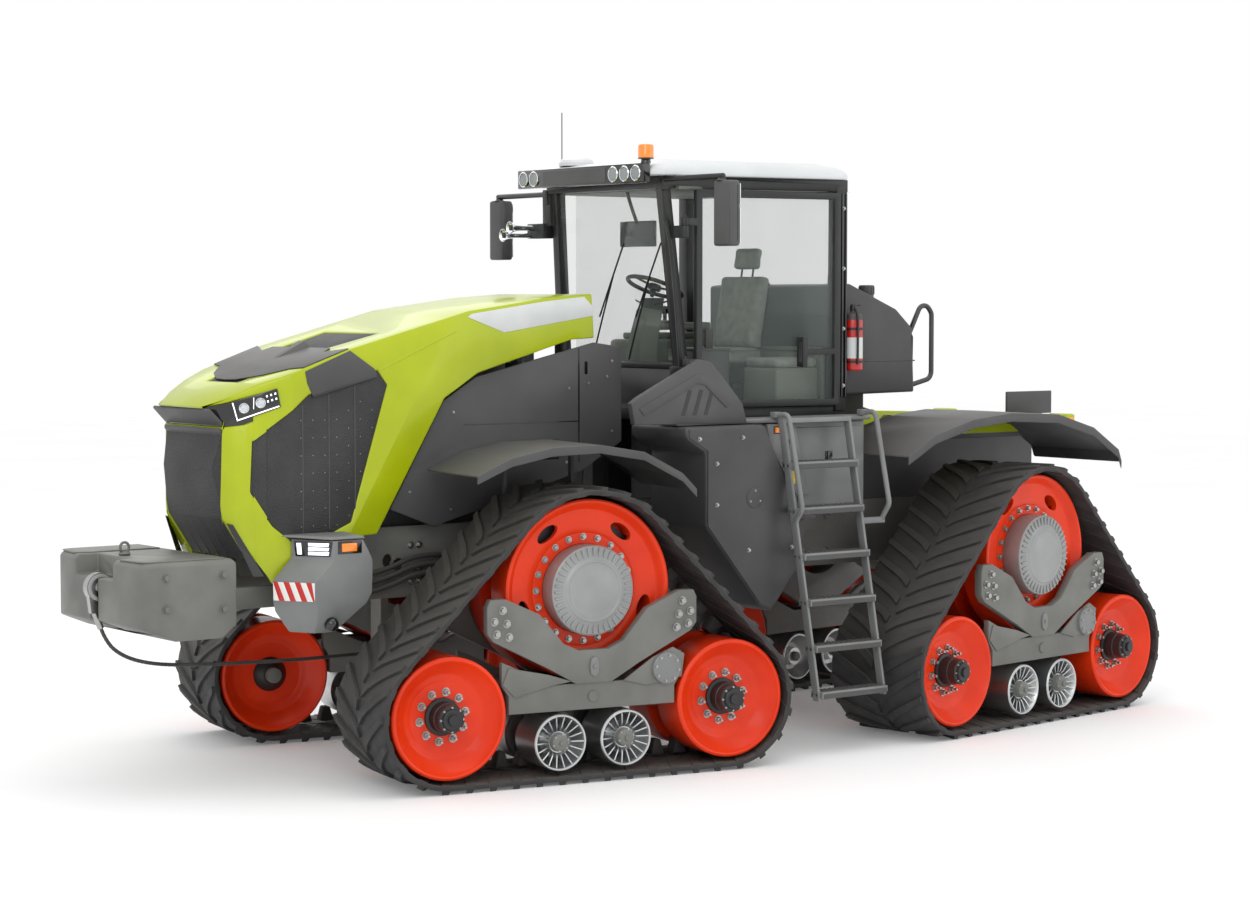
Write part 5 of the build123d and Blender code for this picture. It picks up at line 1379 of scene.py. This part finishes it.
def roof():
    """The roof moulding, crowned and broken over its edge, with the receiver dome and a whip aerial."""
    plan = [(0.900, 0.700), (0.820, 0.745), (-0.600, 0.870), (-0.700, 0.790), (-0.700, -0.790), (-0.600, -0.870),
            (0.820, -0.745), (0.900, -0.700)]

    def level(z, share, nudge=0.0):
        return [(x * share + nudge, y * share, z) for x, y in plan]

    pan = stacked("roof_moulding", [level(3.690, 1.0), level(3.728, 1.0), level(3.756, 0.975), level(3.772, 0.93),
                                    level(3.7985, 0.80)])
    rounded(pan, 0.012, 3, 12)
    flute = [rounded(slab("roof_flute", (-0.50, y - 0.03, 3.795), (0.42, y + 0.03, 3.8035)), 0.008, 3) for y in (-0.42, 0.42)]
    dome = turned("receiver_dome", [(0.0, 0.0), (0.118, 0.0), (0.118, 0.022), (0.108, 0.040), (0.080, 0.054), (0.0, 0.060)],
                  (0.70, -0.38, 3.790), "Z", 48)
    finished(joined([pan, *flute, dome]), "chassis", ROOF, "white_roof", ("cab_roof",), angle=24)
    whip = [rod("whip_aerial", (0.69, -0.56, 3.99), 0.0035, 0.338, "Z", 12),
            rounded(rod("whip_base", (0.69, -0.56, 3.808), 0.012, 0.045, "Z", 16), 0.003, 1)]
    finished(joined(whip), "chassis", BLACK)


def roof_lamps():
    """Round work lights in the light bar and the amber beacon."""
    rings, faces = [], []
    for y in (0.625, 0.505, 0.385, -0.625, -0.505):
        rings.append(turned("work_light_rims", [(0.044, -0.010), (0.050, -0.010), (0.052, 0.004), (0.048, 0.008), (0.044, 0.006)],
                            (0.962, y, 3.702), "X", 32))
        faces.append(turned("work_light_lenses", [(0.0, 0.0), (0.044, 0.0), (0.043, 0.004), (0.030, 0.006), (0.0, 0.007)],
                            (0.960, y, 3.702), "X", 32))
    finished(joined(rings), "chassis", CHROME)
    finished(joined(faces), "chassis", LENS, "lamp_lens")
    panel = rounded(slab("light_bar_panel", (0.958, -0.40, 3.655), (0.964, 0.30, 3.750)), 0.002, 1)
    finished(panel, "chassis", GRAPHITE, "dark_plastic")
    cap = turned("beacon_lens", [(0.0, 3.793), (0.0505, 3.793), (0.0505, 3.866), (0.046, 3.880), (0.030, 3.8835),
                                 (0.0, 3.884)], (0.930, 0.690, 0), "Z", 40)
    finished(cap, "chassis", AMBER)
    foot = turned("beacon_foot", [(0.0, 3.765), (0.034, 3.765), (0.030, 3.785), (0.052, 3.789), (0.052, 3.797), (0.0, 3.797)],
                  (0.930, 0.690, 0), "Z", 32)
    finished(foot, "chassis", TRIM, "gloss_black")


def grown(points, by):
    """An outline moved outwards from its middle by a small distance."""
    cx = sum(x for x, z in points) / len(points)
    cz = sum(z for x, z in points) / len(points)
    bigger = []
    for x, z in points:
        reach = math.hypot(x - cx, z - cz)
        bigger.append((x + (x - cx) / reach * by, z + (z - cz) / reach * by))
    return bigger


def left_side():
    """Visor, storage panel, tank side panel and what is fixed to them."""
    visor = [(1.354, 2.251), (1.300, 2.285), (0.813, 2.513), (0.720, 2.495), (0.470, 2.230), (0.430, 2.101),
             (1.327, 2.119)]
    shell = rounded(plate("side_visor", grown(visor, 0.004), "Y", 1.056, 1.104), 0.006, 2)
    band = [(1.30, 2.215), (0.84, 2.425), (0.76, 2.415), (0.56, 2.235), (0.60, 2.205), (0.78, 2.355), (0.84, 2.365),
            (1.26, 2.170)]
    raised = rounded(plate("visor_band", band, "Y", 1.102, 1.110), 0.004, 2)
    finished(joined([shell, raised]), "chassis", GRAPHITE, "dark_plastic")
    slots = []
    for x in (0.70, 0.79, 0.88):
        slots.append(plate("visor_slots", [(x, 2.325), (x + 0.030, 2.325), (x + 0.085, 2.165), (x + 0.055, 2.165)], "Y",
                           1.1035, 1.1055))
    finished(joined(slots), "chassis", TRIM, "gloss_black")
    panel = [(0.980, 2.085), (0.980, 2.030), (0.830, 1.942), (0.830, 1.468), (0.395, 0.944), (0.310, 0.908), (0.095, 1.158),
             (0.024, 1.403), (0.366, 2.085)]
    side = rounded(plate("tank_side_panel", panel, "Y", 1.196, 1.207), 0.005, 2)
    cover = turned("tank_gauge_cover", [(0.0, 1.213), (0.058, 1.213), (0.066, 1.211), (0.069, 1.205), (0.069, 1.200),
                                        (0.0, 1.200)], (0.45, 0, 1.633), "Y", 40)
    finished(mirrored(joined([side, cover])), "chassis", TANK, "dark_plastic")
    dots = []
    for turn in (90, 210, 330):
        dots.append(bolt("gauge_screws", (0.45 + 0.045 * math.cos(math.radians(turn)), 1.2125,
                                          1.633 + 0.045 * math.sin(math.radians(turn))), 0.010))
    for x, z in ((0.50, 1.30), (0.76, 1.60), (0.76, 1.86), (0.14, 1.30), (0.55, 2.02), (0.90, 2.02)):
        dots.append(bolt("panel_screws", (x, 1.2065, z), 0.020))
    finished(mirrored(joined(dots)), "chassis", ZINC, "zinc")
    store = [(0.300, 2.092), (-0.630, 2.092), (-0.630, 1.512), (0.030, 1.512)]
    box = rounded(plate("storage_panel", store, "Y", 1.024, 1.040), 0.006, 2)
    door = rounded(plate("storage_door", [(-0.02, 2.06), (-0.60, 2.06), (-0.60, 1.55), (-0.05, 1.55)], "Y", 1.038, 1.050),
                   0.006, 2)
    board = rounded(plate("marker_board", [(0.255, 2.092), (0.02, 2.092), (-0.10, 1.62), (0.005, 1.62), (0.235, 1.96)], "Y",
                          1.036, 1.100), 0.008, 2)
    finished(joined([box, door, board]), "chassis", SHEET, "grey_sheet")
    lamp = rounded(slab("step_marker", (0.115, 1.098, 2.035), (0.195, 1.114, 2.070)), 0.005, 2)
    finished(lamp, "chassis", AMBER)
    label = slab("caution_label", (0.020, 1.0995, 1.700), (0.062, 1.1012, 1.782))
    finished(label, "chassis", YELLOW)
    dark = [rounded(slab("marker_socket", (0.075, 1.098, 1.935), (0.120, 1.112, 1.990)), 0.006, 2),
            rounded(slab("storage_handle", (-0.34, 1.048, 1.800), (-0.28, 1.058, 1.900)), 0.005, 2),
            rounded(slab("marker_frame", (0.105, 1.097, 2.027), (0.205, 1.104, 2.078)), 0.003, 1)]
    finished(joined(dark), "chassis", TRIM, "gloss_black")


def stringer_y(z):
    return 1.162 + (2.130 - z) * 0.2


def ladder_grips():
    """Tread plates with raised teeth, on every rung."""
    grips = []
    for z in (1.830, 1.540, 1.250, 0.960, 0.670, 0.380):
        y = stringer_y(z)
        grips.append(rounded(slab("tread_plate", (-0.355, y - 0.050, z + 0.021), (0.175, y + 0.055, z + 0.0245)), 0.0015, 1))
        tooth = rod("tread_teeth", (0, 0, 0), 0.008, 0.005, "Z", 8)
        steps = [(-0.33 + column * 0.042, y - 0.032 + row * 0.034, z + 0.026) for column in range(12) for row in range(3)]
        grips.append(row_of(tooth, steps))
        lip = rounded(slab("tread_lip", (-0.360, y + 0.054, z - 0.024), (0.180, y + 0.0625, z + 0.010)), 0.003, 1)
        grips.append(lip)
    finished(joined(grips), "chassis", GRAPHITE, "dark_plastic")
    ends = []
    for z in (1.830, 1.540, 1.250, 0.960, 0.670, 0.380):
        for x in (-0.370, 0.190):
            for side in (-0.02, 0.02):
                ends.append(rod("ladder_screws", (x + (0.012 if x > 0 else -0.012), stringer_y(z) + side, z), 0.009, 0.006,
                                "X", 12))
    finished(joined(ends), "chassis", ZINC, "zinc")


def rear_side():
    """Tank caps, extinguisher, lime deck panels and rear lamps."""
    caps = [rounded(rod("tank_cap_blue", (-0.82, 0.52, 3.030), 0.0455, 0.065, "Z", 24), 0.006, 2)]
    finished(joined(caps), "chassis", CAP_BLUE)
    grey = []
    for x, y, top, radius in ((-0.96, 0.40, 3.043, 0.053), (-1.08, 0.56, 2.993, 0.053)):
        grey.append(rounded(rod("tank_caps", (x, y, top - 0.035), radius, 0.070, "Z", 24), 0.008, 2))
        grip = slab("cap_grips", (x + radius - 0.002, y - 0.004, top - 0.062), (x + radius + 0.003, y + 0.004, top - 0.012))
        grey.append(ring_of(grip, 12, (x, y, 0), "Z"))
    finished(joined(grey), "chassis", GRAPHITE, "dark_plastic")
    bottle = turned("extinguisher", [(0.0, 2.418), (0.058, 2.418), (0.0635, 2.426), (0.0635, 2.752), (0.056, 2.784),
                                     (0.036, 2.803), (0.0, 2.806)], (-0.72, 0.83, 0), "Z", 40)
    finished(bottle, "chassis", SAFETY_RED)
    band = turned("extinguisher_label", [(0.0600, 2.50), (0.0642, 2.50), (0.0642, 2.64), (0.0600, 2.64)], (-0.72, 0.83, 0),
                  "Z", 40)
    finished(band, "chassis", DECAL)
    head = [turned("extinguisher_head", [(0.0, 2.796), (0.024, 2.796), (0.024, 2.846), (0.018, 2.862), (0.0, 2.862)],
                   (-0.72, 0.83, 0), "Z", 24),
            rounded(slab("extinguisher_lever", (-0.78, 0.822, 2.850), (-0.700, 0.838, 2.862)), 0.003, 1),
            pipe("extinguisher_hose", [(-0.715, 0.852, 2.835), (-0.700, 0.905, 2.81), (-0.690, 0.908, 2.62), (-0.700, 0.898, 2.46)],
                 0.0085, 10),
            turned("extinguisher_strap", [(0.0630, 2.470), (0.0668, 2.470), (0.0668, 2.486), (0.0630, 2.486)],
                   (-0.72, 0.83, 0), "Z", 40),
            turned("extinguisher_strap_top", [(0.0630, 2.690), (0.0668, 2.690), (0.0668, 2.706), (0.0630, 2.706)],
                   (-0.72, 0.83, 0), "Z", 40)]
    finished(joined(head), "chassis", BLACK, "black_steel")
    seam = [rounded(slab("tank_seam", (-1.352, -0.642, 2.472), (-0.660, 0.7625, 2.480)), 0.003, 1)]
    finished(joined(seam), "chassis", TANK, "dark_plastic")
    inner = [(-2.70, 1.95), (-1.10, 1.95), (-1.25, 2.10), (-2.65, 2.05)]
    lime = [rounded(plate("deck_side_panel", grown(inner, 0.006), "Y", 0.554, 0.646), 0.006, 2)]
    corner = rounded(slab("rear_corner_block", (-2.996, 0.514, 1.934), (-2.893, 0.704, 2.066)), 0.02, 3)
    lime.append(corner)
    finished(mirrored(joined(lime)), "chassis", LIME, "green_paint")
    lamp = turned("corner_lamp", [(0.0, 0.702), (0.036, 0.702), (0.036, 0.712), (0.028, 0.716), (0.0, 0.718)],
                  (-2.945, 0, 2.005), "Y", 28)
    finished(mirrored(lamp), "chassis", AMBER)
    tail = rounded(slab("tail_lamp", (-3.003, 0.560, 1.952), (-2.994, 0.668, 2.048)), 0.006, 2)
    finished(mirrored(tail), "chassis", RED_LENS)
    ribs = []
    for x in (-2.4, -2.0, -1.6, -1.2):
        ribs.append(rounded(slab("deck_ribs", (x - 0.02, -0.53, 1.957), (x + 0.02, 0.53, 1.972)), 0.005, 2))
    ribs.append(rounded(slab("deck_hatch", (-2.75, -0.30, 1.970), (-1.05, 0.30, 1.980)), 0.006, 2))
    finished(joined(ribs), "chassis", GRAPHITE, "dark_plastic")
    heads = []
    for x in (-2.6, -2.2, -1.8, -1.4):
        heads.append(bolt("deck_bolts", (x, 0.45, 1.957), 0.024, "Z"))
    finished(mirrored(joined(heads)), "chassis", ZINC, "zinc")


# ======================= make everything =======================

camera()
tow_rope()
studio()
track_units()
machine_castings()
hood_trim()
cheek_fillers()
grille_studs()
mesh_ribs()
headlights()
nose_bar()
lamp_boxes()
flank_details()
weight_details()
frame_fittings()
operator_seat()
steering()
cab_interior()
cab_outside()
roof()
roof_lamps()
left_side()
ladder_grips()
rear_side()
